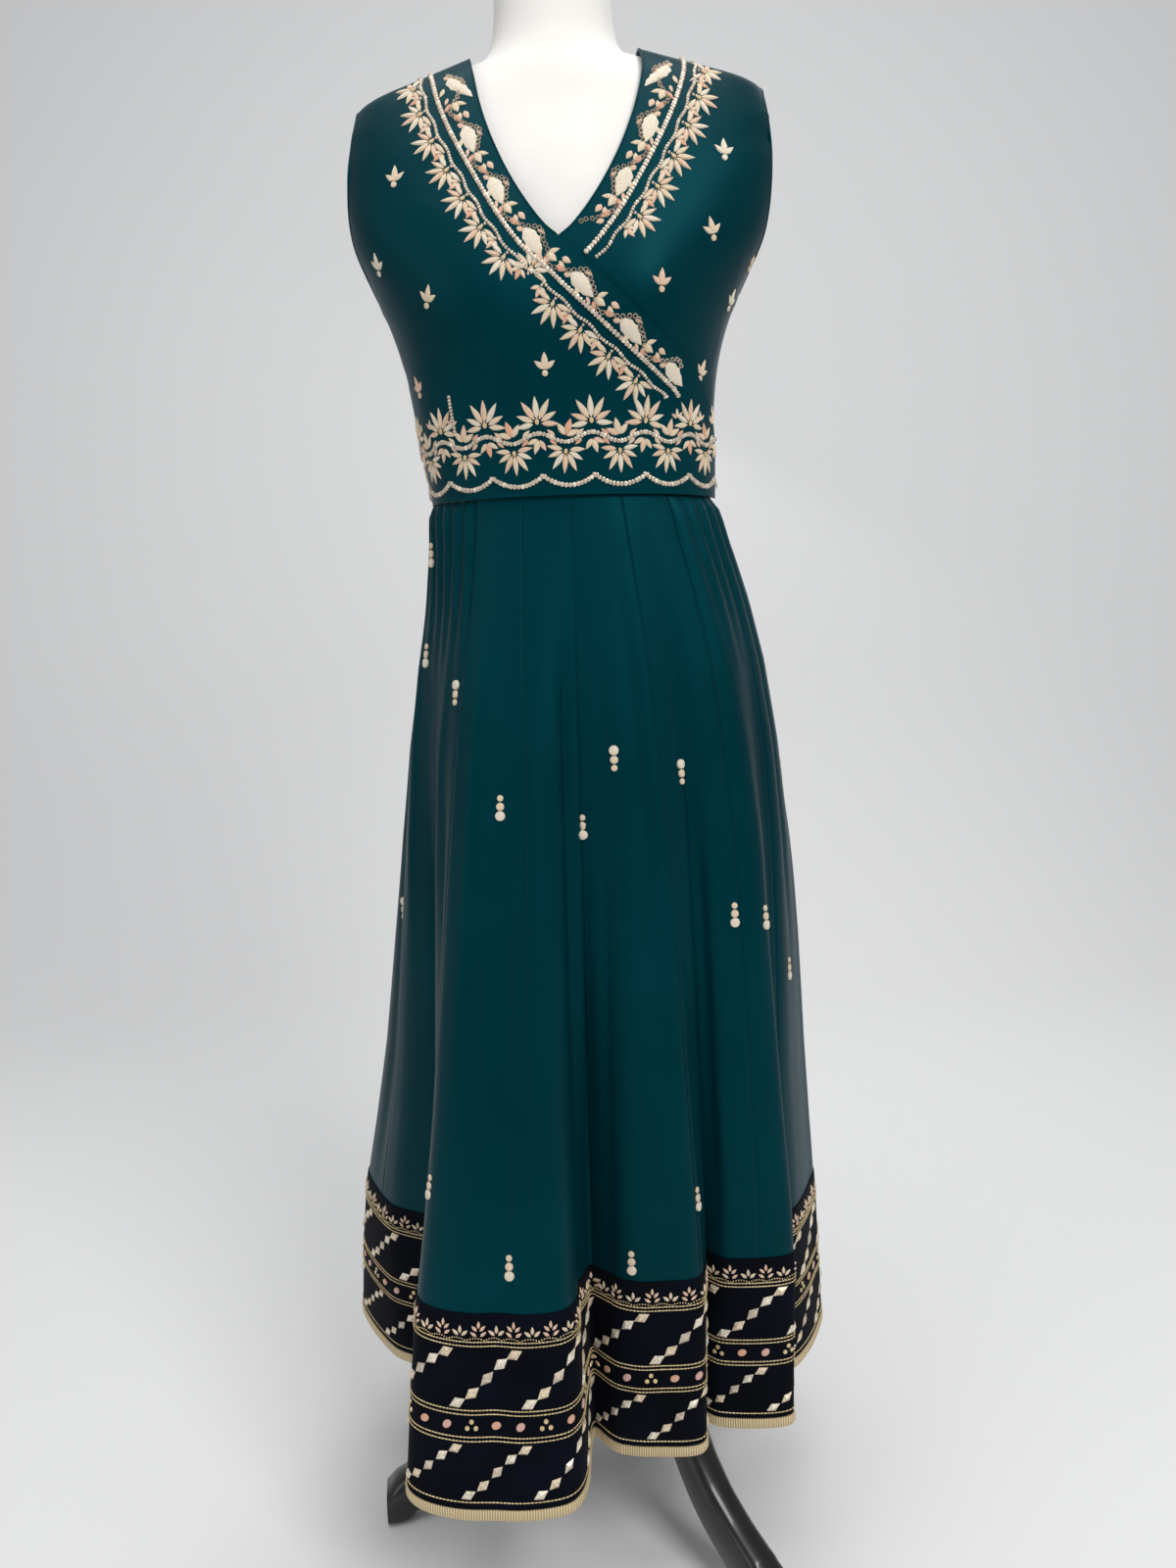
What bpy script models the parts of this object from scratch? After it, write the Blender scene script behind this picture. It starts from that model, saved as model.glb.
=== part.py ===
"""A sleeveless wrap-front dress with a gored, folded skirt, on a limbless dress form with a tripod stand.

Metres, +Z up, the front faces -Y, and the feet stand on z = 0. Run it with
blender --background --python part.py, or from Blender's text editor.
"""

import math

import bpy
import numpy as np
from mathutils import Vector
from mathutils.bvhtree import BVHTree

# Heights of the garment's main lines above the floor
HEM_Z = 0.178
BAND_TOP_Z = 0.355
WAIST_Z = 1.100
ARMPIT_Z = 1.295
NECK_V_Z = 1.318
SHOULDER_TIP_Z = 1.469
BACK_NECK_Z = 1.483
NECK_POINT_Z = 1.504
FORM_BOTTOM_Z = 0.800
FORM_TOP_Z = 1.572
SHOULDER_TILT = 0.028

# Cloth
CLOTH = 0.0016
VELVET = 0.0026
SEAM_GAP = 0.0003
LAP_LIFT = 0.0044
TRIM_DROP = 0.011
TRIM_DEPTH = 0.006
TRIM_GAP = 0.0007

# Skirt
GORES = 16
GORE_COLUMNS = 6
GATHERED_COLUMNS = 9
HALVED_GORES = (4, 5)
HALF_GORE_COLUMNS = 5
GATHERS_PER_GORE = 3
GATHER_DEPTH = 0.0040
GATHER_LENGTH = 0.20
HEM_SAMPLES = 1440
SKIRT_ROWS = (0.0, 0.04, 0.10, 0.19, 0.31, 0.45, 0.61, 0.79, 1.0)
BAND_MIDDLE_Z = 0.262
FOLD_GROWTH = 1.15
HIP_EXPONENT = 0.94
HIP_LEAN = 0.34
HIP_SOFTENING = 0.012
TUCK_START = 0.74

# Wrap front, in degrees round the body from centre front
WRAP_SLOPE = 1.11
WRAP_TURN_Z = 1.212
WRAP_END_DEG = 82.0
UNDER_WRAP_DEG = 46.0
WRAP_CURVE = 1.25
ARMHOLE_FRONT_DEG = 20.0
ARMHOLE_BACK_DEG = 17.0
BUST_X = 0.082
BUST_Z = 1.268
BUST_DEPTH = 0.013
BUST_WIDTH = 0.048
BUST_HEIGHT = 0.052

# Beaded ropes along the wrap and the waist
ROPE_WIDTH = 0.0062
ROPE_HEIGHT = 0.0026
ROPE_SEAT = 0.0006
ROPE_STEP = 0.009
ROPE_START_Z = 1.489
OVER_ROPE_END_Z = 1.188
UNDER_ROPE_END_Z = 1.300
ROPE_INNER_FROM_EDGE = 0.027
ROPE_OUTER_FROM_EDGE = 0.0375
ROPE_SPREAD_AT_SHOULDER = 0.011
SCALLOPS = 16
SCALLOP_TOP_Z = 1.119
SCALLOP_DROP = 0.010
VINE_Z = 1.151
VINE_SWING = 0.0040

# Stand
POLE_X = 0.022
POLE_Y = 0.022
POLE_RADIUS = 0.015
BLOCK_APOTHEM = 0.032
BLOCK_LOW_Z = 0.150
BLOCK_HIGH_Z = 0.280
COLUMN_TOP_Z = 0.400
LEG_ANGLES = (-52.0, 68.0, 188.0)
LEG_CHAMFER = 0.009
FORM_CLEARANCE = 0.0040
FORM_SHOULDER_CLEARANCE = 0.0014

# One row for each level of the body that the cloth follows: height, half the width, depth in
# front and behind, how square the section is (2 is an ellipse), and where its middle lies.
BODY_COLUMNS = ("z", "half_width", "front", "back", "square", "middle")
BODY = (
    (0.800, 0.126, 0.084, 0.090, 2.0, 0.0055),
    (0.900, 0.138, 0.092, 0.100, 2.0, 0.0055),
    (1.000, 0.138, 0.096, 0.095, 2.1, 0.0055),
    (1.100, 0.136, 0.097, 0.088, 2.1, 0.0055),
    (1.160, 0.142, 0.102, 0.090, 2.1, 0.0020),
    (1.220, 0.149, 0.111, 0.096, 2.2, 0.0000),
    (1.260, 0.159, 0.117, 0.102, 2.3, -0.0005),
    (1.300, 0.175, 0.117, 0.106, 2.5, 0.0000),
    (1.340, 0.194, 0.111, 0.107, 2.8, 0.0020),
    (1.390, 0.203, 0.100, 0.104, 3.0, 0.0045),
    (1.425, 0.202, 0.089, 0.097, 2.8, 0.0055),
    (1.453, 0.195, 0.079, 0.088, 2.5, 0.0060),
    (1.469, 0.185, 0.073, 0.081, 2.2, 0.0060),
    (1.483, 0.147, 0.067, 0.075, 2.0, 0.0045),
    (1.493, 0.113, 0.062, 0.071, 2.0, 0.0030),
    (1.504, 0.077, 0.057, 0.067, 2.0, 0.0020),
    (1.524, 0.063, 0.052, 0.061, 2.0, 0.0020),
    (1.574, 0.058, 0.050, 0.057, 2.0, 0.0020),
)

# One row for each fold of the hem, seen from above: the bearing in degrees from centre front
# towards the wearer's left and the distance from the middle, at the fold's two corners and at
# the bottom of the valley after it, then how far the hem is raised there and tucked inwards.
FOLD_COLUMNS = ("start", "start_r", "end", "end_r", "valley", "valley_r", "raised", "tucked")
FOLDS = (
    (-42.0, 0.262, -7.5, 0.219, -2.0, 0.122, 0.000, 0.000),
    (11.3, 0.160, 34.9, 0.197, 50.0, 0.150, 0.003, 0.018),
    (48.0, 0.190, 60.5, 0.250, 73.5, 0.196, 0.006, 0.024),
    (86.0, 0.228, 107.0, 0.273, 116.0, 0.238, 0.004, 0.004),
    (123.0, 0.290, 138.0, 0.286, 144.5, 0.226, 0.000, 0.010),
    (154.0, 0.270, 171.5, 0.264, 177.5, 0.186, 0.004, 0.000),
    (186.0, 0.258, 204.0, 0.278, 210.5, 0.222, 0.000, 0.012),
    (217.0, 0.292, 230.0, 0.306, 236.5, 0.252, 0.002, 0.000),
    (246.0, 0.306, 263.5, 0.232, 282.0, 0.156, 0.002, 0.006),
)

# One row for each level of the skirt's sides: how far they stand out past a straight fall, at
# the wearer's left and right.
SIDE_COLUMNS = ("z", "left", "right")
SIDES = (
    (0.178, 0.004, 0.000),
    (0.260, 0.004, 0.008),
    (0.340, 0.007, 0.013),
    (0.420, 0.009, 0.010),
    (0.520, 0.013, 0.009),
    (0.640, 0.020, 0.013),
    (0.760, 0.025, 0.016),
    (0.860, 0.026, 0.016),
    (0.940, 0.023, 0.011),
    (1.000, 0.015, 0.004),
    (1.060, 0.004, 0.000),
    (1.100, 0.000, 0.000),
)

# One row for each station of a leg, from the block outwards.
LEG_COLUMNS = ("reach", "low", "high", "width")
LEG = (
    (0.0323, 0.165, 0.262, 0.038),
    (0.0600, 0.180, 0.268, 0.040),
    (0.0850, 0.168, 0.250, 0.041),
    (0.1050, 0.132, 0.212, 0.041),
    (0.1250, 0.094, 0.166, 0.039),
    (0.1450, 0.066, 0.131, 0.037),
    (0.1700, 0.044, 0.101, 0.036),
    (0.2000, 0.024, 0.078, 0.036),
    (0.2300, 0.008, 0.060, 0.038),
    (0.2380, 0.000, 0.053, 0.041),
    (0.2500, 0.000, 0.046, 0.044),
    (0.2610, 0.000, 0.034, 0.042),
)

# One row for each turned level of the column over the block.
COLUMN_PROFILE = (
    (0.0200, BLOCK_HIGH_Z + SEAM_GAP),
    (0.0300, 0.288),
    (0.0300, 0.296),
    (0.0200, 0.304),
    (0.0245, 0.335),
    (0.0215, 0.368),
    (0.0260, 0.378),
    (0.0260, 0.390),
    (0.0190, COLUMN_TOP_Z),
)

COLOURS = {
    "teal_crepe": ((0.006, 0.096, 0.112), 0.50, 0.0),
    "dark_velvet": ((0.004, 0.012, 0.030), 0.90, 0.0),
    "cream_trim": ((0.72, 0.56, 0.34), 0.60, 0.0),
    "silver_beads": ((0.66, 0.58, 0.46), 0.35, 0.2),
    "form_linen": ((0.86, 0.84, 0.80), 0.85, 0.0),
    "dark_wood": ((0.018, 0.014, 0.013), 0.35, 0.0),
}


def clear_scene():
    for obj in list(bpy.data.objects):
        bpy.data.objects.remove(obj)


def finish_material(name):
    colour, roughness, metallic = COLOURS[name]
    material = bpy.data.materials.get(name) or bpy.data.materials.new(name)
    material.use_nodes = True
    shader = material.node_tree.nodes["Principled BSDF"]
    shader.inputs["Base Color"].default_value = (*colour, 1.0)
    shader.inputs["Roughness"].default_value = roughness
    shader.inputs["Metallic"].default_value = metallic
    return material


def add_object(name, points, faces, material, parent):
    mesh = bpy.data.meshes.new(name)
    mesh.from_pydata([tuple(p) for p in points], [], faces)
    mesh.shade_smooth()
    mesh.set_sharp_from_angle(angle=math.radians(35))
    mesh.materials.append(finish_material(material))
    obj = bpy.data.objects.new(name, mesh)
    bpy.context.scene.collection.objects.link(obj)
    obj.parent = parent
    return obj


def smooth_step(x):
    x = min(max(x, 0.0), 1.0)
    return x * x * (3.0 - 2.0 * x)


# Body shape

BODY_TABLE = np.array(BODY)


def body_section(z):
    """Half width, front depth, back depth, squareness and middle at a height, on smooth curves."""
    levels = BODY_TABLE[:, 0]
    z = min(max(z, levels[0]), levels[-1])
    i = min(int(np.searchsorted(levels, z, side="right")) - 1, len(levels) - 2)
    step = levels[i + 1] - levels[i]
    f = (z - levels[i]) / step
    before = max(i - 1, 0)
    after = min(i + 2, len(levels) - 1)
    slope_in = (BODY_TABLE[i + 1] - BODY_TABLE[before]) / (levels[i + 1] - levels[before])
    slope_out = (BODY_TABLE[after] - BODY_TABLE[i]) / (levels[after] - levels[i])
    row = (
        (2 * f**3 - 3 * f**2 + 1) * BODY_TABLE[i]
        + (f**3 - 2 * f**2 + f) * step * slope_in
        + (3 * f**2 - 2 * f**3) * BODY_TABLE[i + 1]
        + (f**3 - f**2) * step * slope_out
    )
    return row[1:]


def body_point(angle, z):
    """The cloth's inner face at an angle round the body, 0 in front and +90 at the wearer's left."""
    half_width, front, back, square, middle = body_section(z)
    sine = math.sin(math.radians(angle))
    x = half_width * sine
    height = z + SHOULDER_TILT * x * smooth_step((z - 1.34) / 0.1)
    reach = max(1.0 - abs(sine) ** square, 0.0) ** (1.0 / square)
    if math.cos(math.radians(angle)) < 0.0:
        return np.array((middle + x, back * reach, height))
    across = (abs(x) - BUST_X) / BUST_WIDTH
    up = (z - BUST_Z) / BUST_HEIGHT
    mound = BUST_DEPTH * math.exp(-across * across - up * up) * min(reach * 1.6, 1.0)
    return np.array((middle + x, -front * reach - mound, height))


def body_normal(angle, z):
    turn = 0.6
    rise = 0.0015
    along = body_point(angle + turn, z) - body_point(angle - turn, z)
    up = body_point(angle, z + rise) - body_point(angle, z - rise)
    normal = np.cross(along, up)
    return normal / np.linalg.norm(normal)


def body_tangent(angle, z):
    """The direction round the body at an angle, level and towards larger angles."""
    along = body_point(angle + 0.6, z) - body_point(angle - 0.6, z)
    return along / np.linalg.norm(along)


def body_offset(angle, z, away):
    return body_point(angle, z) + body_normal(angle, z) * away


def level_normal(normal):
    flat = np.array((normal[0], normal[1], 0.0))
    return flat / np.linalg.norm(flat)


# Walls made from a grid of points on a surface


def wall(name, inner, outer, material, parent):
    """A closed wall between two grids of points, rows by columns, with a rim round its edge."""
    rows = len(inner)
    columns = len(inner[0])
    points = [p for row in inner for p in row] + [p for row in outer for p in row]
    top = rows * columns
    faces = []
    for r in range(rows - 1):
        for c in range(columns - 1):
            a = r * columns + c
            b = a + 1
            d = a + columns
            e = d + 1
            faces.append((top + a, top + b, top + e, top + d))
            faces.append((a, d, e, b))
    rim = [(0, c) for c in range(columns)]
    rim += [(r, columns - 1) for r in range(1, rows)]
    rim += [(rows - 1, c) for c in range(columns - 2, -1, -1)]
    rim += [(r, 0) for r in range(rows - 2, 0, -1)]
    for (r0, c0), (r1, c1) in zip(rim, rim[1:] + rim[:1]):
        a = r0 * columns + c0
        b = r1 * columns + c1
        faces.append((a, b, top + b, top + a))
    return add_object(name, points, faces, material, parent)


# Bodice: two crossed fronts and two backs


def angle_of(x, z):
    """The angle round the front of a point at a distance x from the body's middle."""
    half_width = body_section(z)[0]
    return math.degrees(math.asin(min(max(x / half_width, -1.0), 1.0)))


def front_inner_edge(v, wrap_deg):
    """Angle and height along a front's free edge: the wrap's slant, then the V neckline."""
    if v < 0.5:
        rise = v / 0.5
        return -wrap_deg * (1.0 - rise**WRAP_CURVE), WAIST_Z + (NECK_V_Z - WAIST_Z) * rise
    climb = math.sin((v - 0.5) * math.pi)
    z = NECK_V_Z + (NECK_POINT_Z - NECK_V_Z) * climb
    x = body_section(NECK_POINT_Z)[0] * math.sin(climb * math.pi / 2) ** 0.75
    return (90.0 if v == 1.0 else angle_of(x, z)), z


def over_inner_edge(v):
    """The over front's edge falls in a straight slant, then bends round to the side."""
    if v >= 0.5:
        return front_inner_edge(v, WRAP_END_DEG)
    z = WAIST_Z + (NECK_V_Z - WAIST_Z) * v / 0.5
    if z >= WRAP_TURN_Z:
        return -angle_of((NECK_V_Z - z) * WRAP_SLOPE, z), z
    turn = angle_of((NECK_V_Z - WRAP_TURN_Z) * WRAP_SLOPE, WRAP_TURN_Z)
    fall = (WRAP_TURN_Z - z) / (WRAP_TURN_Z - WAIST_Z)
    return -(turn + (WRAP_END_DEG - turn) * (1.0 - (1.0 - fall) ** 2.2)), z


def under_inner_edge(v):
    return front_inner_edge(v, UNDER_WRAP_DEG)


def height_over(x, y):
    """The body's height over a point seen from above, near the neck."""
    low = 1.470
    high = 1.525
    for _ in range(30):
        z = (low + high) / 2
        half_width, front, back, square, _ = body_section(z)
        depth = front if y < 0.0 else back
        if (abs(x) / half_width) ** square + (abs(y) / depth) ** square < 1.0:
            low = z
        else:
            high = z
    return z


def back_inner_edge(v):
    """Angle and height along a back's inner edge: the centre seam, then the neckline."""
    if v <= BACK_NECK_SHARE:
        return 180.0, WAIST_Z + (BACK_NECK_Z - WAIST_Z) * v / BACK_NECK_SHARE
    if v == 1.0:
        return 90.0, NECK_POINT_Z
    turn = (v - BACK_NECK_SHARE) / (1.0 - BACK_NECK_SHARE) * math.pi / 2
    x = body_section(NECK_POINT_Z)[0] * math.sin(turn)
    z = height_over(x, body_section(BACK_NECK_Z)[2] * math.cos(turn))
    return 180.0 - angle_of(x, z), z


def side_edge(v, armhole_deg, turn):
    """Angle and height along the side seam, then round the armhole to the shoulder's tip."""
    if v < 0.5:
        return 90.0, WAIST_Z + (ARMPIT_Z - WAIST_Z) * v / 0.5
    share = (v - 0.5) / 0.5
    z = ARMPIT_Z + (SHOULDER_TIP_Z - ARMPIT_Z) * math.sin(share * math.pi / 2)
    scoop = math.sin(math.pi * share) ** 0.75 if 0.0 < share < 1.0 else 0.0
    return 90.0 + turn * armhole_deg * scoop, z


def lap_lift(angle, z):
    """How far the over front stands off the body, so that it lies on the under front."""
    crossed = 1.0 - smooth_step((z - NECK_V_Z - 0.015) / 0.06)
    return LAP_LIFT * smooth_step((angle + 84.0) / 32.0) * crossed


BODICE_ROWS = (0.0, 0.09, 0.18, 0.26, 0.32, 0.38, 0.44, 0.50, 0.56, 0.62, 0.68, 0.75, 0.82, 0.88, 0.94, 1.0)
BACK_NECK_SHARE = 0.75


def panel_grids(mirror, inner_edge, armhole_deg, turn, columns, lift):
    """Inner and outer points of a bodice panel. mirror is 1 for the wearer's left, -1 for the right."""
    inner = []
    outer = []
    for v in BODICE_ROWS:
        start, start_z = inner_edge(v)
        end, end_z = side_edge(v, armhole_deg, turn)
        row_in = []
        row_out = []
        for c in range(columns + 1):
            share = c / columns
            angle = mirror * (start + (end - start) * share)
            z = start_z + (end_z - start_z) * share
            away = lift(angle, z)
            base = body_point(angle, z)
            normal = body_normal(angle, z)
            if v == 0.0:
                normal = level_normal(normal)
                base[2] += SEAM_GAP / 2
            if c == columns or v == 1.0:
                base = base + body_tangent(angle, z) * (turn * mirror * SEAM_GAP / 2)
            if c == 0 and turn > 0 and v <= BACK_NECK_SHARE:
                base = base - body_tangent(angle, z) * (mirror * SEAM_GAP / 2)
            row_in.append(base + normal * away)
            row_out.append(base + normal * (away + CLOTH))
        inner.append(row_in)
        outer.append(row_out)
    if (mirror > 0) == (turn > 0):
        inner = [row[::-1] for row in inner]
        outer = [row[::-1] for row in outer]
    return inner, outer


def flat_lift(angle, z):
    return 0.0


def bodice_panels():
    """Name and grids of each bodice panel."""
    panels = []
    fronts = (
        ("bodice_front_over", -1, over_inner_edge, lap_lift),
        ("bodice_front_under", 1, under_inner_edge, flat_lift),
    )
    for name, mirror, inner_edge, lift in fronts:
        grids = panel_grids(mirror, inner_edge, ARMHOLE_FRONT_DEG, -1, 15, lift)
        panels.append((name, *grids))
    for name, mirror in (("bodice_back_right", -1), ("bodice_back_left", 1)):
        grids = panel_grids(mirror, back_inner_edge, ARMHOLE_BACK_DEG, 1, 10, flat_lift)
        panels.append((name, *grids))
    return panels


# Skirt: gores that hang in folds, a velvet band and a trim below it


def closed_curve(points, samples):
    """Points at even distances along a smooth closed curve through the given points."""
    count = len(points)
    dense = []
    for i in range(count):
        p0, p1, p2, p3 = (points[(i + k) % count] for k in (-1, 0, 1, 2))
        for f in np.linspace(0.0, 1.0, 60, endpoint=False):
            dense.append(
                0.5
                * (
                    2 * p1
                    + (p2 - p0) * f
                    + (2 * p0 - 5 * p1 + 4 * p2 - p3) * f * f
                    + (3 * p1 - p0 - 3 * p2 + p3) * f**3
                )
            )
    dense = np.array(dense)
    closed = np.vstack([dense, dense[:1]])
    steps = np.linalg.norm(np.diff(closed[:, :2], axis=0), axis=1)
    travel = np.concatenate([[0.0], np.cumsum(steps)])
    wanted = np.linspace(0.0, travel[-1], samples, endpoint=False)
    columns = [np.interp(wanted, travel, closed[:, k]) for k in range(closed.shape[1])]
    return np.array(columns).T


def smooth_round(values, window):
    """A moving average round a closed list, taken twice."""
    kernel = np.ones(window) / window
    for _ in range(2):
        padded = np.vstack([values[-window:], values, values[:window]])
        columns = [np.convolve(padded[:, k], kernel, mode="same") for k in range(values.shape[1])]
        values = np.array(columns).T[window:-window]
    return values


def bearing_point(bearing, radius, raised, tucked):
    angle = math.radians(bearing)
    return np.array((radius * math.sin(angle), -radius * math.cos(angle), raised, tucked))


def hem_curve():
    """The hem from above, as (x, y, raised, tucked) at even distances, from centre front to the left."""
    corners = []
    for start, start_r, end, end_r, valley, valley_r, raised, tucked in FOLDS:
        corners.append(bearing_point(start, start_r, raised, tucked))
        corners.append(bearing_point(end, end_r, raised, tucked))
        corners.append(bearing_point(valley, valley_r, raised, tucked))
    curve = closed_curve(corners, HEM_SAMPLES)
    front = int(np.argmin(np.abs(curve[:, 0]) + (curve[:, 1] > 0) * 1.0))
    return np.roll(curve, -front, axis=0)


def waist_curve():
    """The waist seam from above, at even distances, from centre front round to the left."""
    angles = np.linspace(0.0, 360.0, 721)[:-1]
    ring = np.array([body_point(a, WAIST_Z)[:2] for a in angles])
    closed = np.vstack([ring, ring[:1]])
    travel = np.concatenate([[0.0], np.cumsum(np.linalg.norm(np.diff(closed, axis=0), axis=1))])
    wanted = np.linspace(0.0, travel[-1], HEM_SAMPLES, endpoint=False)
    return np.array([np.interp(wanted, travel, closed[:, k]) for k in range(2)]).T


HEM = hem_curve()
WAIST = waist_curve()
HEM_MEAN = smooth_round(HEM[:, :2], HEM_SAMPLES // len(FOLDS))
HEM_FOLD = HEM[:, :2] - HEM_MEAN
HEM_EASE = smooth_round(HEM[:, 2:], HEM_SAMPLES // 24)
SIDE_TABLE = np.array(SIDES)


def at_share(values, s):
    place = (s % 1.0) * HEM_SAMPLES
    i = int(place)
    f = place - i
    return values[i % HEM_SAMPLES] * (1 - f) + values[(i + 1) % HEM_SAMPLES] * f


def gore_gathered(index):
    """The gores at the wearer's two sides are gathered into the waist seam."""
    return index in (2, 3, 4, 11, 12, 13)


def gather_wave(s, drop):
    position = (s % 1.0) * GORES
    if not gore_gathered(int(position) % GORES):
        return 0.0
    fade = smooth_step(1.0 - drop / GATHER_LENGTH) * smooth_step(drop / 0.012)
    return GATHER_DEPTH * fade * (1.0 - math.cos(2 * math.pi * GATHERS_PER_GORE * position)) / 2


def z_share(z):
    return (WAIST_Z - z) / (WAIST_Z - HEM_Z)


def skirt_point(s, t):
    """The skirt's inner face, at share s round the hem and share t from the waist to the hem."""
    waist = at_share(WAIST, s)
    mean = at_share(HEM_MEAN, s)
    side = mean[0] / np.linalg.norm(mean)
    power = HIP_EXPONENT - HIP_LEAN * side
    start = HIP_SOFTENING**power
    spread = ((t + HIP_SOFTENING) ** power - start) / ((1 + HIP_SOFTENING) ** power - start)
    plan = waist + (mean - waist) * spread + at_share(HEM_FOLD, s) * t**FOLD_GROWTH
    raised, tucked = at_share(HEM_EASE, s)
    z = WAIST_Z + (HEM_Z + raised * t - WAIST_Z) * t
    out = plan / np.linalg.norm(plan)
    below = max(z_share(z) - TUCK_START, 0.0) / (1.0 - TUCK_START)
    plan = plan + out * (gather_wave(s, WAIST_Z - z) - tucked * below**1.5)
    column = 1 if side > 0 else 2
    plan[0] += side * abs(side) * np.interp(z, SIDE_TABLE[:, 0], SIDE_TABLE[:, column])
    return np.array((plan[0], plan[1], z))


def skirt_normal(s, t):
    around = 0.0010
    down = 0.004
    low = min(t + down, 1.0)
    high = max(t - down, 0.0)
    along = skirt_point(s + around, t) - skirt_point(s - around, t)
    up = skirt_point(s, high) - skirt_point(s, low)
    normal = np.cross(along, up)
    return normal / np.linalg.norm(normal)


def skirt_tangent(s, t):
    along = skirt_point(s + 0.0008, t) - skirt_point(s - 0.0008, t)
    return along / np.linalg.norm(along)


def skirt_strip(start, end, columns, shares, thickness):
    """Inner and outer points of a piece of the skirt between two shares round the hem."""
    inner = []
    outer = []
    for t in shares:
        row_in = []
        row_out = []
        for c in range(columns + 1):
            s = start + (end - start) * c / columns
            base = skirt_point(s, t)
            normal = skirt_normal(s, t)
            if t in (shares[0], shares[-1]):
                normal = level_normal(normal)
            if c == 0:
                base = base + skirt_tangent(s, t) * SEAM_GAP / 2
            if c == columns:
                base = base - skirt_tangent(s, t) * SEAM_GAP / 2
            row_in.append(base)
            row_out.append(base + normal * thickness)
        inner.append(row_in)
        outer.append(row_out)
    return inner[::-1], outer[::-1]


def make_skirt(parent):
    """Sixteen gores; the two that fold most sharply at the wearer's left are each in two halves."""
    top = z_share(WAIST_Z - SEAM_GAP)
    bottom = z_share(BAND_TOP_Z + SEAM_GAP)
    shares = [top + (bottom - top) * row for row in SKIRT_ROWS]
    for index in range(GORES):
        name = f"skirt_gore_{index + 1:02d}"
        start = index / GORES
        middle = (index + 0.5) / GORES
        end = (index + 1) / GORES
        if index in HALVED_GORES:
            fore = skirt_strip(start, middle, HALF_GORE_COLUMNS, shares, CLOTH)
            wall(name + "_fore", *fore, "teal_crepe", parent)
            aft = skirt_strip(middle, end, HALF_GORE_COLUMNS, shares, CLOTH)
            wall(name + "_aft", *aft, "teal_crepe", parent)
            continue
        columns = GATHERED_COLUMNS if gore_gathered(index) else GORE_COLUMNS
        grids = skirt_strip(start, end, columns, shares, CLOTH)
        wall(name, *grids, "teal_crepe", parent)


def make_band(parent):
    """The velvet band, cut in a length for each two gores."""
    lengths = GORES // 2
    shares = [z_share(BAND_TOP_Z), z_share(BAND_MIDDLE_Z), 1.0]
    for index in range(lengths):
        columns = 2 * GORE_COLUMNS
        grids = skirt_strip(index / lengths, (index + 1) / lengths, columns, shares, VELVET)
        wall(f"hem_band_{index + 1}", *grids, "dark_velvet", parent)


def make_trim(parent):
    """The cream edging below the velvet, one closed ring with a four-sided section."""
    count = GORES * GORE_COLUMNS
    points = []
    for i in range(count):
        s = i / count
        base = skirt_point(s, 1.0)
        normal = level_normal(skirt_normal(s, 1.0))
        middle = base + normal * VELVET / 2 - np.array((0, 0, TRIM_GAP + TRIM_DROP / 2))
        for out, up in ((-1, -1), (1, -1), (1, 1), (-1, 1)):
            shift = normal * out * TRIM_DEPTH / 2 + np.array((0, 0, up * TRIM_DROP / 2))
            points.append(middle + shift)
    faces = []
    for i in range(count):
        here = 4 * i
        there = 4 * ((i + 1) % count)
        for k in range(4):
            m = (k + 1) % 4
            faces.append((here + k, there + k, there + m, here + m))
    add_object("hem_trim", points, faces, "cream_trim", parent)


# Beaded ropes that lie on the bodice


def outer_faces(panels):
    """The bodice's outer faces as one tree, to lay the ropes on."""
    points = []
    faces = []
    for _, _, outer in panels:
        columns = len(outer[0])
        first = len(points)
        points += [tuple(p) for row in outer for p in row]
        for r in range(len(outer) - 1):
            for c in range(columns - 1):
                a = first + r * columns + c
                faces.append((a, a + 1, a + columns + 1))
                faces.append((a, a + columns + 1, a + columns))
    return BVHTree.FromPolygons(points, faces)


def rise_over_body(tree, point, normal):
    """How far the outermost cloth stands off the body at a point."""
    start = Vector(point + normal * 0.02)
    hit = tree.ray_cast(start, Vector(-normal), 0.03)[0]
    return CLOTH if hit is None else float(np.dot(np.array(hit) - point, normal))


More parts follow.
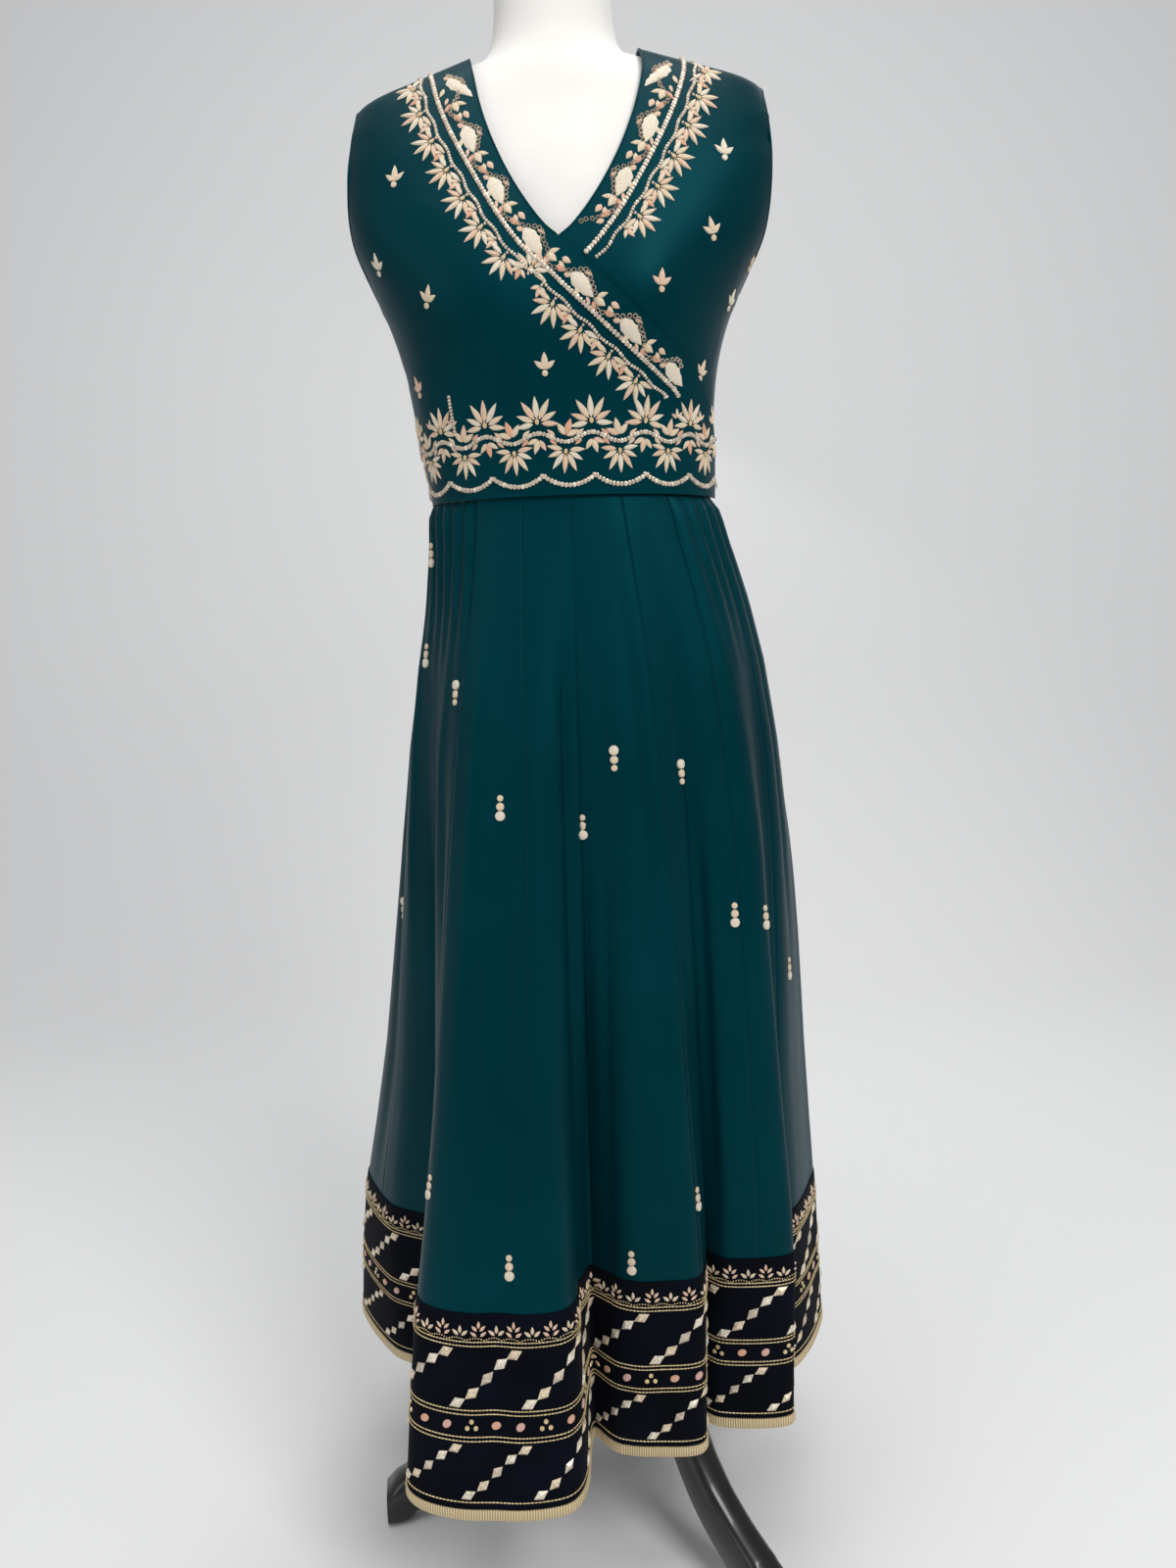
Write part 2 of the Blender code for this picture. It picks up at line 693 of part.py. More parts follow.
def rope(name, line, closed, tree, parent):
    """A low rope with a bevelled back along a line of (angle, z) on the bodice."""
    section = ((-0.5, 0.0), (-0.28, 0.85), (0.28, 0.85), (0.5, 0.0))
    count = len(line)
    bases = np.array([body_point(angle, z) for angle, z in line])
    normals = np.array([body_normal(angle, z) for angle, z in line])
    sides = []
    rises = []
    for i in range(count):
        after = bases[(i + 1) % count] if closed else bases[min(i + 1, count - 1)]
        before = bases[i - 1] if closed else bases[max(i - 1, 0)]
        side = np.cross(after - before, normals[i])
        side /= np.linalg.norm(side)
        sides.append(side)
        spots = (bases[i], (bases[i] + after) / 2)
        spots = [spot + side * ROPE_WIDTH * k for spot in spots for k in (-0.5, 0.0, 0.5)]
        rises.append(max(rise_over_body(tree, spot, normals[i]) for spot in spots))
    points = []
    for i in range(count):
        near = [rises[(i + k) % count] if closed else rises[min(max(i + k, 0), count - 1)] for k in (-1, 0, 1)]
        seat = max(near) + ROPE_SEAT
        for sideways, up in section:
            away = normals[i] * (seat + up * ROPE_HEIGHT)
            points.append(bases[i] + sides[i] * sideways * ROPE_WIDTH + away)
    size = len(section)
    faces = []
    for i in range(count if closed else count - 1):
        here = size * i
        there = size * ((i + 1) % count)
        for k in range(size):
            m = (k + 1) % size
            faces.append((here + k, here + m, there + m, there + k))
    if not closed:
        faces.append(tuple(range(size - 1, -1, -1)))
        faces.append(tuple(size * (count - 1) + k for k in range(size)))
    add_object(name, points, faces, "silver_beads", parent)


def line_beside_edge(mirror, distance, first, last):
    """A line at a distance inside a front's free edge, as (angle, z), from the shoulder down."""
    edge = []
    for v in np.linspace(0.93, 0.12, 90):
        angle, z = over_inner_edge(v)
        edge.append((body_section(z)[0] * math.sin(math.radians(angle)), z))
    edge = np.array(edge)
    along = np.gradient(edge, axis=0)
    along /= np.linalg.norm(along, axis=1)[:, None]
    spread = [ROPE_SPREAD_AT_SHOULDER * smooth_step((z - 1.37) / 0.12) for z in edge[:, 1]]
    inside = np.stack([-along[:, 1], along[:, 0]], axis=1)
    shifted = edge + inside * (distance + np.array(spread))[:, None]
    shifted = shifted[(shifted[:, 1] < first) & (shifted[:, 1] > last)]
    steps = np.linalg.norm(np.diff(shifted, axis=0), axis=1)
    travel = np.concatenate([[0.0], np.cumsum(steps)])
    wanted = np.linspace(0.0, travel[-1], int(travel[-1] / ROPE_STEP) + 2)
    xs = np.interp(wanted, travel, shifted[:, 0])
    zs = np.interp(wanted, travel, shifted[:, 1])
    return [(mirror * angle_of(x, z), z) for x, z in zip(xs, zs)]


def waist_angle(s):
    """The angle round the body at a share of the waist's length."""
    half_width, _, _, _, middle = body_section(WAIST_Z)
    x, y = at_share(WAIST, s)
    angle = math.degrees(math.asin(min(max((x - middle) / half_width, -1.0), 1.0)))
    if y > 0.0:
        angle = 180.0 - angle
    return angle if angle <= 180.0 else angle - 360.0


def waist_line(height, count):
    return [(waist_angle(i / count), height(i / count)) for i in range(count)]


def scallop_height(s):
    """Shallow arcs that hang between cusps, with the lowest part of one at centre front."""
    share = (s * SCALLOPS + 0.5) % 1.0
    return SCALLOP_TOP_Z - SCALLOP_DROP * math.sin(math.pi * share) ** 0.7


def vine_height(s):
    return VINE_Z + VINE_SWING * math.cos(2 * math.pi * (s * SCALLOPS + 0.5))


def make_ropes(panels, parent):
    tree = outer_faces(panels)
    for name, mirror, low in (("over", -1, OVER_ROPE_END_Z), ("under", 1, UNDER_ROPE_END_Z)):
        for place, distance in (("inner", ROPE_INNER_FROM_EDGE), ("outer", ROPE_OUTER_FROM_EDGE)):
            line = line_beside_edge(mirror, distance, ROPE_START_Z, low)
            rope(f"rope_{name}_{place}", line, False, tree, parent)
    rope("rope_scallop", waist_line(scallop_height, SCALLOPS * 6), True, tree, parent)
    rope("rope_vine", waist_line(vine_height, SCALLOPS * 5), True, tree, parent)


# Dress form and stand


def form_clearance(angle, z):
    """The cloth rests along the shoulders and stands a little off the form elsewhere."""
    level = smooth_step((z - 1.433) / 0.03) * (1.0 - smooth_step((z - 1.490) / 0.008))
    ridge = smooth_step(1.4 - abs(abs(angle) - 90.0) / 25.0)
    return FORM_CLEARANCE + (FORM_SHOULDER_CLEARANCE - FORM_CLEARANCE) * level * ridge


def make_form(parent):
    levels = (
        0.800, 0.860, 0.930, 1.000, 1.060, 1.100, 1.140, 1.180, 1.220, 1.250, 1.275, 1.300, 1.330,
        1.360, 1.385, 1.410, 1.430, 1.445, 1.457, 1.468, 1.476, 1.482, 1.488, 1.494, 1.500, 1.506,
        1.516, 1.537, 1.562,
    )
    around = 36
    points = []
    for z in levels:
        for k in range(around):
            angle = 360.0 * k / around
            signed = angle if angle <= 180.0 else angle - 360.0
            point = body_offset(signed, z, -form_clearance(signed, z))
            points.append(np.array((point[0], point[1], z if z == FORM_BOTTOM_Z else point[2])))
    rim = FORM_TOP_Z
    middle = body_section(FORM_TOP_Z)[4]
    for k in range(around):
        point = points[(len(levels) - 1) * around + k]
        points.append(np.array((middle + (point[0] - middle) * 0.86, point[1] * 0.86, rim)))
    faces = [tuple(range(around - 1, -1, -1))]
    rows = len(levels) + 1
    for r in range(rows - 1):
        for k in range(around):
            m = (k + 1) % around
            a = r * around
            faces.append((a + k, a + m, a + around + m, a + around + k))
    faces.append(tuple((rows - 1) * around + k for k in range(around)))
    add_object("form_torso", points, faces, "form_linen", parent)


def turned(name, profile, sides, parent):
    """A solid of revolution about the pole's axis, from (radius, height) rows, low to high."""
    points = []
    for radius, z in profile:
        for k in range(sides):
            angle = 2 * math.pi * k / sides
            x = POLE_X + radius * math.cos(angle)
            points.append((x, POLE_Y + radius * math.sin(angle), z))
    faces = [tuple(range(sides - 1, -1, -1))]
    for r in range(len(profile) - 1):
        for k in range(sides):
            m = (k + 1) % sides
            a = r * sides
            faces.append((a + k, a + m, a + sides + m, a + sides + k))
    faces.append(tuple((len(profile) - 1) * sides + k for k in range(sides)))
    add_object(name, points, faces, "dark_wood", parent)


def make_block(parent):
    """A six-sided block, with a flat for each leg."""
    radius = BLOCK_APOTHEM / math.cos(math.pi / 6)
    points = []
    bevel = 0.004
    rows = (
        (radius - bevel, BLOCK_LOW_Z),
        (radius, BLOCK_LOW_Z + bevel),
        (radius, BLOCK_HIGH_Z - bevel),
        (radius - bevel, BLOCK_HIGH_Z),
    )
    for reach, z in rows:
        for k in range(6):
            angle = math.radians(LEG_ANGLES[0] + 30.0 + 60.0 * k)
            x = POLE_X + reach * math.cos(angle)
            points.append((x, POLE_Y + reach * math.sin(angle), z))
    faces = [tuple(range(5, -1, -1))]
    for r in range(3):
        for k in range(6):
            m = (k + 1) % 6
            faces.append((6 * r + k, 6 * r + m, 6 * r + 6 + m, 6 * r + 6 + k))
    faces.append(tuple(18 + k for k in range(6)))
    add_object("stand_block", points, faces, "dark_wood", parent)


def make_leg(index, degrees, parent):
    """A curved leg with a flat-soled foot, as sections with bevelled corners."""
    turn = math.radians(degrees)
    outwards = np.array((math.cos(turn), math.sin(turn), 0.0))
    across = np.array((-math.sin(turn), math.cos(turn), 0.0))
    centre = np.array((POLE_X, POLE_Y, 0.0))
    points = []
    for reach, low, high, width in LEG:
        cut = min(LEG_CHAMFER, (high - low) * 0.3)
        half = width / 2
        sole = min(cut, 0.004)
        section = (
            (-half + sole, low), (half - sole, low), (half, low + sole), (half, high - cut),
            (half - cut, high), (-half + cut, high), (-half, high - cut), (-half, low + sole),
        )
        for sideways, z in section:
            points.append(centre + outwards * reach + across * sideways + np.array((0, 0, z)))
    faces = [tuple(range(7, -1, -1))]
    for r in range(len(LEG) - 1):
        for k in range(8):
            m = (k + 1) % 8
            faces.append((8 * r + k, 8 * r + m, 8 * r + 8 + m, 8 * r + 8 + k))
    faces.append(tuple(8 * (len(LEG) - 1) + k for k in range(8)))
    add_object(f"stand_leg_{index + 1}", points, faces, "dark_wood", parent)


def make_stand(parent):
    turned("stand_column", COLUMN_PROFILE, 20, parent)
    pole = (
        (POLE_RADIUS, COLUMN_TOP_Z + SEAM_GAP),
        (POLE_RADIUS, FORM_BOTTOM_Z - SEAM_GAP),
    )
    turned("stand_pole", pole, 20, parent)
    make_block(parent)
    for index, degrees in enumerate(LEG_ANGLES):
        make_leg(index, degrees, parent)


def centre_footprint(parent):
    """Moves everything so that the whole stands over the origin."""
    bpy.context.view_layer.update()
    corners = [np.array(c) for o in parent.children for c in o.bound_box]
    low = np.min(corners, axis=0)
    high = np.max(corners, axis=0)
    parent.location = (-(low[0] + high[0]) / 2, -(low[1] + high[1]) / 2, 0.0)


def main():
    clear_scene()
    parent = bpy.data.objects.new("dress_on_form", None)
    bpy.context.scene.collection.objects.link(parent)
    panels = bodice_panels()
    for name, inner, outer in panels:
        wall(name, inner, outer, "teal_crepe", parent)
    make_skirt(parent)
    make_band(parent)
    make_trim(parent)
    make_ropes(panels, parent)
    make_form(parent)
    make_stand(parent)
    centre_footprint(parent)


main()
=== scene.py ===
import math

import bpy
import numpy as np
from mathutils import Matrix, Vector


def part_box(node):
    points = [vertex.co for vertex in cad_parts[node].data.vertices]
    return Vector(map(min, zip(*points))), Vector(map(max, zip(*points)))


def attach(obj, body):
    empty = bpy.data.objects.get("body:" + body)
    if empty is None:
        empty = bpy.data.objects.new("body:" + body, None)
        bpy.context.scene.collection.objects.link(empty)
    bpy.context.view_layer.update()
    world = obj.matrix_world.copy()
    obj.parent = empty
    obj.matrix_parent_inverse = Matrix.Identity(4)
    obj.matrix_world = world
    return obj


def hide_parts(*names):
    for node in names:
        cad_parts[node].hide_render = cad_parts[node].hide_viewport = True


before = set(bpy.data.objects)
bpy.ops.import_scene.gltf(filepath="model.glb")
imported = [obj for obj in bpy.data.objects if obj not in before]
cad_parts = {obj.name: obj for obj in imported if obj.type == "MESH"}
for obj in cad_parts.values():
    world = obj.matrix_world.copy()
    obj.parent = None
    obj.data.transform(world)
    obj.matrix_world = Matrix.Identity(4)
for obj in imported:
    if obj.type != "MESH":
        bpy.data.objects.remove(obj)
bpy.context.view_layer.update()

# The dress's main lines and its cloth, as in the solids
HEM_Z, BAND_TOP_Z, WAIST_Z, ARMPIT_Z = 0.178, 0.355, 1.100, 1.295
NECK_V_Z, SHOULDER_TIP_Z, BACK_NECK_Z, NECK_POINT_Z = 1.318, 1.469, 1.483, 1.504
FORM_BOTTOM_Z, FORM_TOP_Z, SHOULDER_TILT = 0.800, 1.572, 0.028
CLOTH, VELVET, SEAM_GAP, LAP_LIFT = 0.0016, 0.0026, 0.0003, 0.0044
GORES, GATHERS_PER_GORE, GATHER_DEPTH, GATHER_LENGTH = 16, 3, 0.0040, 0.20
HEM_SAMPLES, FOLD_GROWTH, HIP_EXPONENT, HIP_LEAN, HIP_SOFTENING, TUCK_START = 1440, 1.15, 0.94, 0.34, 0.012, 0.74
WRAP_SLOPE, WRAP_TURN_Z, WRAP_END_DEG, UNDER_WRAP_DEG, WRAP_CURVE = 1.11, 1.212, 82.0, 46.0, 1.25
ARMHOLE_FRONT_DEG, ARMHOLE_BACK_DEG, BACK_NECK_SHARE = 20.0, 17.0, 0.75
BUST_X, BUST_Z, BUST_DEPTH, BUST_WIDTH, BUST_HEIGHT = 0.082, 1.268, 0.013, 0.048, 0.052
ROPE_INNER, ROPE_OUTER, ROPE_SPREAD, ROPE_START_Z = 0.027, 0.0375, 0.011, 1.489
OVER_ROPE_END_Z, UNDER_ROPE_END_Z = 1.188, 1.300
SCALLOP_TOP_Z, SCALLOP_DROP, VINE_Z, VINE_SWING = 1.119, 0.010, 1.151, 0.0040
FORM_CLEARANCE, FORM_SHOULDER_CLEARANCE = 0.0040, 0.0014
POLE_X, POLE_Y = 0.022, 0.022

# z, half width, front, back, squareness, middle
BODY = np.array((
    (0.800, 0.126, 0.084, 0.090, 2.0, 0.0055), (0.900, 0.138, 0.092, 0.100, 2.0, 0.0055),
    (1.000, 0.138, 0.096, 0.095, 2.1, 0.0055), (1.100, 0.136, 0.097, 0.088, 2.1, 0.0055),
    (1.160, 0.142, 0.102, 0.090, 2.1, 0.0020), (1.220, 0.149, 0.111, 0.096, 2.2, 0.0000),
    (1.260, 0.159, 0.117, 0.102, 2.3, -0.0005), (1.300, 0.175, 0.117, 0.106, 2.5, 0.0000),
    (1.340, 0.194, 0.111, 0.107, 2.8, 0.0020), (1.390, 0.203, 0.100, 0.104, 3.0, 0.0045),
    (1.425, 0.202, 0.089, 0.097, 2.8, 0.0055), (1.453, 0.195, 0.079, 0.088, 2.5, 0.0060),
    (1.469, 0.185, 0.073, 0.081, 2.2, 0.0060), (1.483, 0.147, 0.067, 0.075, 2.0, 0.0045),
    (1.493, 0.113, 0.062, 0.071, 2.0, 0.0030), (1.504, 0.077, 0.057, 0.067, 2.0, 0.0020),
    (1.524, 0.063, 0.052, 0.061, 2.0, 0.0020), (1.574, 0.058, 0.050, 0.057, 2.0, 0.0020),
))
# start, its radius, end, its radius, valley, its radius, raised, tucked
FOLDS = (
    (-42.0, 0.262, -7.5, 0.219, -2.0, 0.122, 0.000, 0.000), (11.3, 0.160, 34.9, 0.197, 50.0, 0.150, 0.003, 0.018),
    (48.0, 0.190, 60.5, 0.250, 73.5, 0.196, 0.006, 0.024), (86.0, 0.228, 107.0, 0.273, 116.0, 0.238, 0.004, 0.004),
    (123.0, 0.290, 138.0, 0.286, 144.5, 0.226, 0.000, 0.010), (154.0, 0.270, 171.5, 0.264, 177.5, 0.186, 0.004, 0.000),
    (186.0, 0.258, 204.0, 0.278, 210.5, 0.222, 0.000, 0.012), (217.0, 0.292, 230.0, 0.306, 236.5, 0.252, 0.002, 0.000),
    (246.0, 0.306, 263.5, 0.232, 282.0, 0.156, 0.002, 0.006),
)
# z, left, right
SIDES = np.array((
    (0.178, 0.004, 0.000), (0.260, 0.004, 0.008), (0.340, 0.007, 0.013), (0.420, 0.009, 0.010),
    (0.520, 0.013, 0.009), (0.640, 0.020, 0.013), (0.760, 0.025, 0.016), (0.860, 0.026, 0.016),
    (0.940, 0.023, 0.011), (1.000, 0.015, 0.004), (1.060, 0.004, 0.000), (1.100, 0.000, 0.000),
))
# Soft creases of the skirt, given one by one: share round the hem, lean, top, foot, height, width
CREASES = (
    (0.012, 0.006, 0.12, 0.95, -0.0032, 0.0075), (0.030, 0.004, 0.30, 1.10, 0.0022, 0.0090),
    (0.052, -0.003, 0.06, 0.70, -0.0020, 0.0060), (0.081, 0.002, 0.18, 1.05, 0.0028, 0.0085),
    (0.104, -0.004, 0.26, 0.88, -0.0030, 0.0070), (0.131, 0.003, 0.08, 0.62, 0.0018, 0.0065),
    (0.152, 0.000, 0.34, 1.10, -0.0034, 0.0080), (0.187, 0.005, 0.15, 0.80, 0.0026, 0.0100),
    (0.214, -0.002, 0.05, 0.55, -0.0022, 0.0055), (0.246, 0.004, 0.28, 1.10, 0.0030, 0.0090),
    (0.271, 0.001, 0.12, 0.75, -0.0026, 0.0070), (0.304, -0.005, 0.33, 1.05, 0.0024, 0.0085),
    (0.337, 0.003, 0.09, 0.66, -0.0020, 0.0065), (0.372, 0.000, 0.22, 1.10, 0.0032, 0.0095),
    (0.401, 0.004, 0.16, 0.84, -0.0028, 0.0075), (0.438, -0.003, 0.07, 0.58, 0.0018, 0.0060),
    (0.466, 0.002, 0.30, 1.05, -0.0034, 0.0085), (0.502, 0.005, 0.19, 0.90, 0.0024, 0.0090),
    (0.531, -0.001, 0.05, 0.60, -0.0022, 0.0055), (0.569, 0.003, 0.25, 1.10, 0.0030, 0.0080),
    (0.604, 0.000, 0.14, 0.72, -0.0028, 0.0070), (0.641, -0.004, 0.32, 1.05, 0.0026, 0.0095),
    (0.668, 0.003, 0.08, 0.64, -0.0020, 0.0060), (0.703, 0.001, 0.21, 1.10, 0.0032, 0.0085),
    (0.736, 0.004, 0.17, 0.86, -0.0030, 0.0075), (0.771, -0.002, 0.06, 0.56, 0.0018, 0.0065),
    (0.799, 0.002, 0.28, 1.10, -0.0034, 0.0080), (0.832, 0.005, 0.13, 0.82, 0.0026, 0.0090),
    (0.861, -0.003, 0.24, 1.02, -0.0024, 0.0070), (0.893, 0.001, 0.10, 0.68, 0.0020, 0.0065),
    (0.921, 0.003, 0.31, 1.10, -0.0030, 0.0085), (0.948, -0.002, 0.16, 0.78, 0.0022, 0.0075),
    (0.978, 0.004, 0.08, 1.00, -0.0036, 0.0080), (0.992, 0.003, 0.20, 0.74, 0.0020, 0.0060),
)
CREASE_GAIN = 1.4
# Drag lines of the bodice: angle and height of both ends, height, width
DRAGS = (
    (-84, 1.312, -58, 1.286, -0.0011, 0.0050), (-86, 1.285, -62, 1.262, 0.0009, 0.0050),
    (-70, 1.240, -38, 1.216, -0.0010, 0.0060), (-64, 1.190, -22, 1.176, 0.0008, 0.0060),
    (-88, 1.225, -60, 1.205, -0.0009, 0.0050), (82, 1.318, 58, 1.292, -0.0011, 0.0050),
    (86, 1.284, 60, 1.268, 0.0009, 0.0050), (70, 1.236, 40, 1.222, -0.0009, 0.0055),
    (76, 1.196, 44, 1.150, 0.0009, 0.0060), (40, 1.262, 12, 1.215, -0.0008, 0.0060),
    (-30, 1.250, -10, 1.205, 0.0008, 0.0060), (118, 1.330, 150, 1.300, -0.0010, 0.0060),
    (74, 1.432, 50, 1.426, 0.0016, 0.0048), (73, 1.414, 46, 1.402, -0.0018, 0.0052),
    (72, 1.392, 48, 1.384, 0.0014, 0.0050),
    (-74, 1.440, -52, 1.430, 0.0012, 0.0050), (-72, 1.400, -50, 1.380, -0.0012, 0.0060),
    (-116, 1.336, -146, 1.296, -0.0010, 0.0060), (112, 1.230, 160, 1.196, 0.0009, 0.0070),
    (-114, 1.216, -158, 1.180, 0.0009, 0.0070), (128, 1.150, 170, 1.140, -0.0008, 0.0060),
)

COLOUR = {
    "teal": (0.0001, 0.0270, 0.0365), "velvet": (0.0008, 0.0018, 0.0050), "cream": (0.93, 0.77, 0.56),
    "peach": (0.90, 0.50, 0.33), "blush": (0.92, 0.66, 0.48), "gold": (0.84, 0.66, 0.36), "silver": (0.72, 0.61, 0.49),
    "pale": (0.96, 0.87, 0.70), "pink": (0.86, 0.52, 0.45), "linen": (0.80, 0.78, 0.74), "wood": (0.005, 0.004, 0.004),
}


def smooth_step(x):
    x = np.clip(x, 0.0, 1.0)
    return x * x * (3.0 - 2.0 * x)


def unit(v):
    return v / np.maximum(np.linalg.norm(v, axis=-1, keepdims=True), 1e-12)


pole_low, pole_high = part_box("stand_pole")
OFFSET = np.array(((pole_low[0] + pole_high[0]) / 2 - POLE_X, (pole_low[1] + pole_high[1]) / 2 - POLE_Y, 0.0))


# Body form

def body_section(z):
    levels = BODY[:, 0]
    z = np.clip(z, levels[0], levels[-1])
    i = np.clip(np.searchsorted(levels, z, side="right") - 1, 0, len(levels) - 2)
    step = levels[i + 1] - levels[i]
    f = ((z - levels[i]) / step)[..., None]
    before, after = np.maximum(i - 1, 0), np.minimum(i + 2, len(levels) - 1)
    slope_in = (BODY[i + 1] - BODY[before]) / (levels[i + 1] - levels[before])[..., None]
    slope_out = (BODY[after] - BODY[i]) / (levels[after] - levels[i])[..., None]
    row = (
        (2 * f**3 - 3 * f**2 + 1) * BODY[i] + (f**3 - 2 * f**2 + f) * step[..., None] * slope_in
        + (3 * f**2 - 2 * f**3) * BODY[i + 1] + (f**3 - f**2) * step[..., None] * slope_out
    )
    return row[..., 1:]


def half_width(z):
    return body_section(np.asarray(z, float))[..., 0]


def body_point(angle, z):
    angle, z = np.broadcast_arrays(np.asarray(angle, float), np.asarray(z, float))
    half, front, back, square, middle = np.moveaxis(body_section(z), -1, 0)
    sine = np.sin(np.radians(angle))
    x = half * sine
    height = z + SHOULDER_TILT * x * smooth_step((z - 1.34) / 0.1)
    reach = np.maximum(1.0 - np.abs(sine) ** square, 0.0) ** (1.0 / square)
    across = (np.abs(x) - BUST_X) / BUST_WIDTH
    up = (z - BUST_Z) / BUST_HEIGHT
    mound = BUST_DEPTH * np.exp(-across * across - up * up) * np.minimum(reach * 1.6, 1.0)
    y = np.where(np.cos(np.radians(angle)) < 0.0, back * reach, -front * reach - mound)
    return np.stack((middle + x, y, height), -1)


def body_normal(angle, z):
    along = body_point(angle + 0.6, z) - body_point(angle - 0.6, z)
    up = body_point(angle, z + 0.0015) - body_point(angle, z - 0.0015)
    return unit(np.cross(along, up))


def drags(angle, z):
    """Height of the bodice's soft wrinkles."""
    x, total = angle * 0.0026, np.zeros(np.shape(angle))
    for a0, z0, a1, z1, height, width in DRAGS:
        start, run = np.array((a0 * 0.0026, z0)), np.array(((a1 - a0) * 0.0026, z1 - z0))
        share = np.clip(((x - start[0]) * run[0] + (z - start[1]) * run[1]) / (run @ run), 0.0, 1.0)
        away = np.hypot(x - start[0] - share * run[0], z - start[1] - share * run[1])
        total += height * (1.0 - 0.7 * share) * np.exp(-(away / width) ** 2)
    return total


def angle_of(x, z):
    return np.degrees(np.arcsin(np.clip(x / half_width(z), -1.0, 1.0)))


def front_edge(v, over=True):
    """Angle and height along a front's free edge."""
    v = np.asarray(v, float)
    climb = np.sin((v - 0.5) * np.pi)
    z_neck = NECK_V_Z + (NECK_POINT_Z - NECK_V_Z) * climb
    x_neck = half_width(NECK_POINT_Z) * np.sin(np.maximum(climb, 0.0) * np.pi / 2) ** 0.75
    z_wrap = WAIST_Z + (NECK_V_Z - WAIST_Z) * v / 0.5
    if over:
        turn = angle_of((NECK_V_Z - WRAP_TURN_Z) * WRAP_SLOPE, WRAP_TURN_Z)
        fall = np.clip((WRAP_TURN_Z - z_wrap) / (WRAP_TURN_Z - WAIST_Z), 0.0, 1.0)
        low = turn + (WRAP_END_DEG - turn) * (1.0 - (1.0 - fall) ** 2.2)
        wrap = -np.where(z_wrap >= WRAP_TURN_Z, angle_of((NECK_V_Z - z_wrap) * WRAP_SLOPE, z_wrap), low)
    else:
        wrap = -UNDER_WRAP_DEG * (1.0 - np.clip(v / 0.5, 0.0, 1.0) ** WRAP_CURVE)
    angle = np.where(v < 0.5, wrap, np.where(v >= 1.0, 90.0, angle_of(x_neck, z_neck)))
    return angle, np.where(v < 0.5, z_wrap, z_neck)


def back_edge(v):
    turn = np.clip((v - BACK_NECK_SHARE) / (1.0 - BACK_NECK_SHARE), 0.0, 1.0) * np.pi / 2
    x, y = half_width(NECK_POINT_Z) * np.sin(turn), body_section(np.asarray(BACK_NECK_Z))[2] * np.cos(turn)
    low, high = np.full(np.shape(v), 1.470), np.full(np.shape(v), 1.525)
    for _ in range(30):
        z = (low + high) / 2
        half, _, back, square, _ = np.moveaxis(body_section(z), -1, 0)
        inside = (np.abs(x) / half) ** square + (np.abs(y) / back) ** square < 1.0
        low, high = np.where(inside, z, low), np.where(inside, high, z)
    angle = np.where(v <= BACK_NECK_SHARE, 180.0, np.where(v >= 1.0, 90.0, 180.0 - angle_of(x, z)))
    return angle, np.where(v <= BACK_NECK_SHARE, WAIST_Z + (BACK_NECK_Z - WAIST_Z) * v / BACK_NECK_SHARE, z)


def side_edge(v, armhole_deg, turn):
    share = np.clip((v - 0.5) / 0.5, 0.0, 1.0)
    scoop = np.sin(np.pi * share).clip(0.0) ** 0.75
    below = WAIST_Z + (ARMPIT_Z - WAIST_Z) * v / 0.5
    above = ARMPIT_Z + (SHOULDER_TIP_Z - ARMPIT_Z) * np.sin(share * np.pi / 2)
    z = np.where(v < 0.5, below, above)
    return 90.0 + turn * armhole_deg * scoop, z


def lap_lift(angle, z):
    crossed = 1.0 - smooth_step((z - NECK_V_Z - 0.015) / 0.06)
    return LAP_LIFT * smooth_step((angle + 84.0) / 32.0) * crossed


EDGE_ANGLE, EDGE_Z = front_edge(np.linspace(0.0, 0.5, 80))


# Skirt form

def closed_curve(points, samples):
    points, dense = np.array(points), []
    f = np.linspace(0.0, 1.0, 60, endpoint=False)[:, None]
    for i in range(len(points)):
        p0, p1, p2, p3 = (points[(i + k) % len(points)] for k in (-1, 0, 1, 2))
        curved = (2 * p0 - 5 * p1 + 4 * p2 - p3) * f * f
        twisted = (3 * p1 - p0 - 3 * p2 + p3) * f**3
        dense.append(0.5 * (2 * p1 + (p2 - p0) * f + curved + twisted))
    dense = np.vstack(dense)
    return even(np.vstack([dense, dense[:1]]), samples)


def even(closed, samples):
    travel = np.concatenate([[0.0], np.cumsum(np.linalg.norm(np.diff(closed[:, :2], axis=0), axis=1))])
    wanted = np.linspace(0.0, travel[-1], samples, endpoint=False)
    return np.array([np.interp(wanted, travel, closed[:, k]) for k in range(closed.shape[1])]).T


def smooth_round(values, window):
    kernel = np.ones(window) / window
    for _ in range(2):
        padded = np.vstack([values[-window:], values, values[:window]])
        smoothed = [np.convolve(padded[:, k], kernel, mode="same") for k in range(values.shape[1])]
        values = np.array(smoothed).T[window:-window]
    return values


def hem_curve():
    corners = []
    for start, start_r, end, end_r, valley, valley_r, raised, tucked in FOLDS:
        for bearing, radius in ((start, start_r), (end, end_r), (valley, valley_r)):
            turn = math.radians(bearing)
            corners.append((radius * math.sin(turn), -radius * math.cos(turn), raised, tucked))
    curve = closed_curve(corners, HEM_SAMPLES)
    return np.roll(curve, -int(np.argmin(np.abs(curve[:, 0]) + (curve[:, 1] > 0) * 1.0)), axis=0)


HEM = hem_curve()
WAIST = even(body_point(np.linspace(0.0, 360.0, 721), WAIST_Z)[:, :2], HEM_SAMPLES)
HEM_MEAN = smooth_round(HEM[:, :2], HEM_SAMPLES // len(FOLDS))
HEM_FOLD = HEM[:, :2] - HEM_MEAN
HEM_EASE = smooth_round(HEM[:, 2:], HEM_SAMPLES // 24)


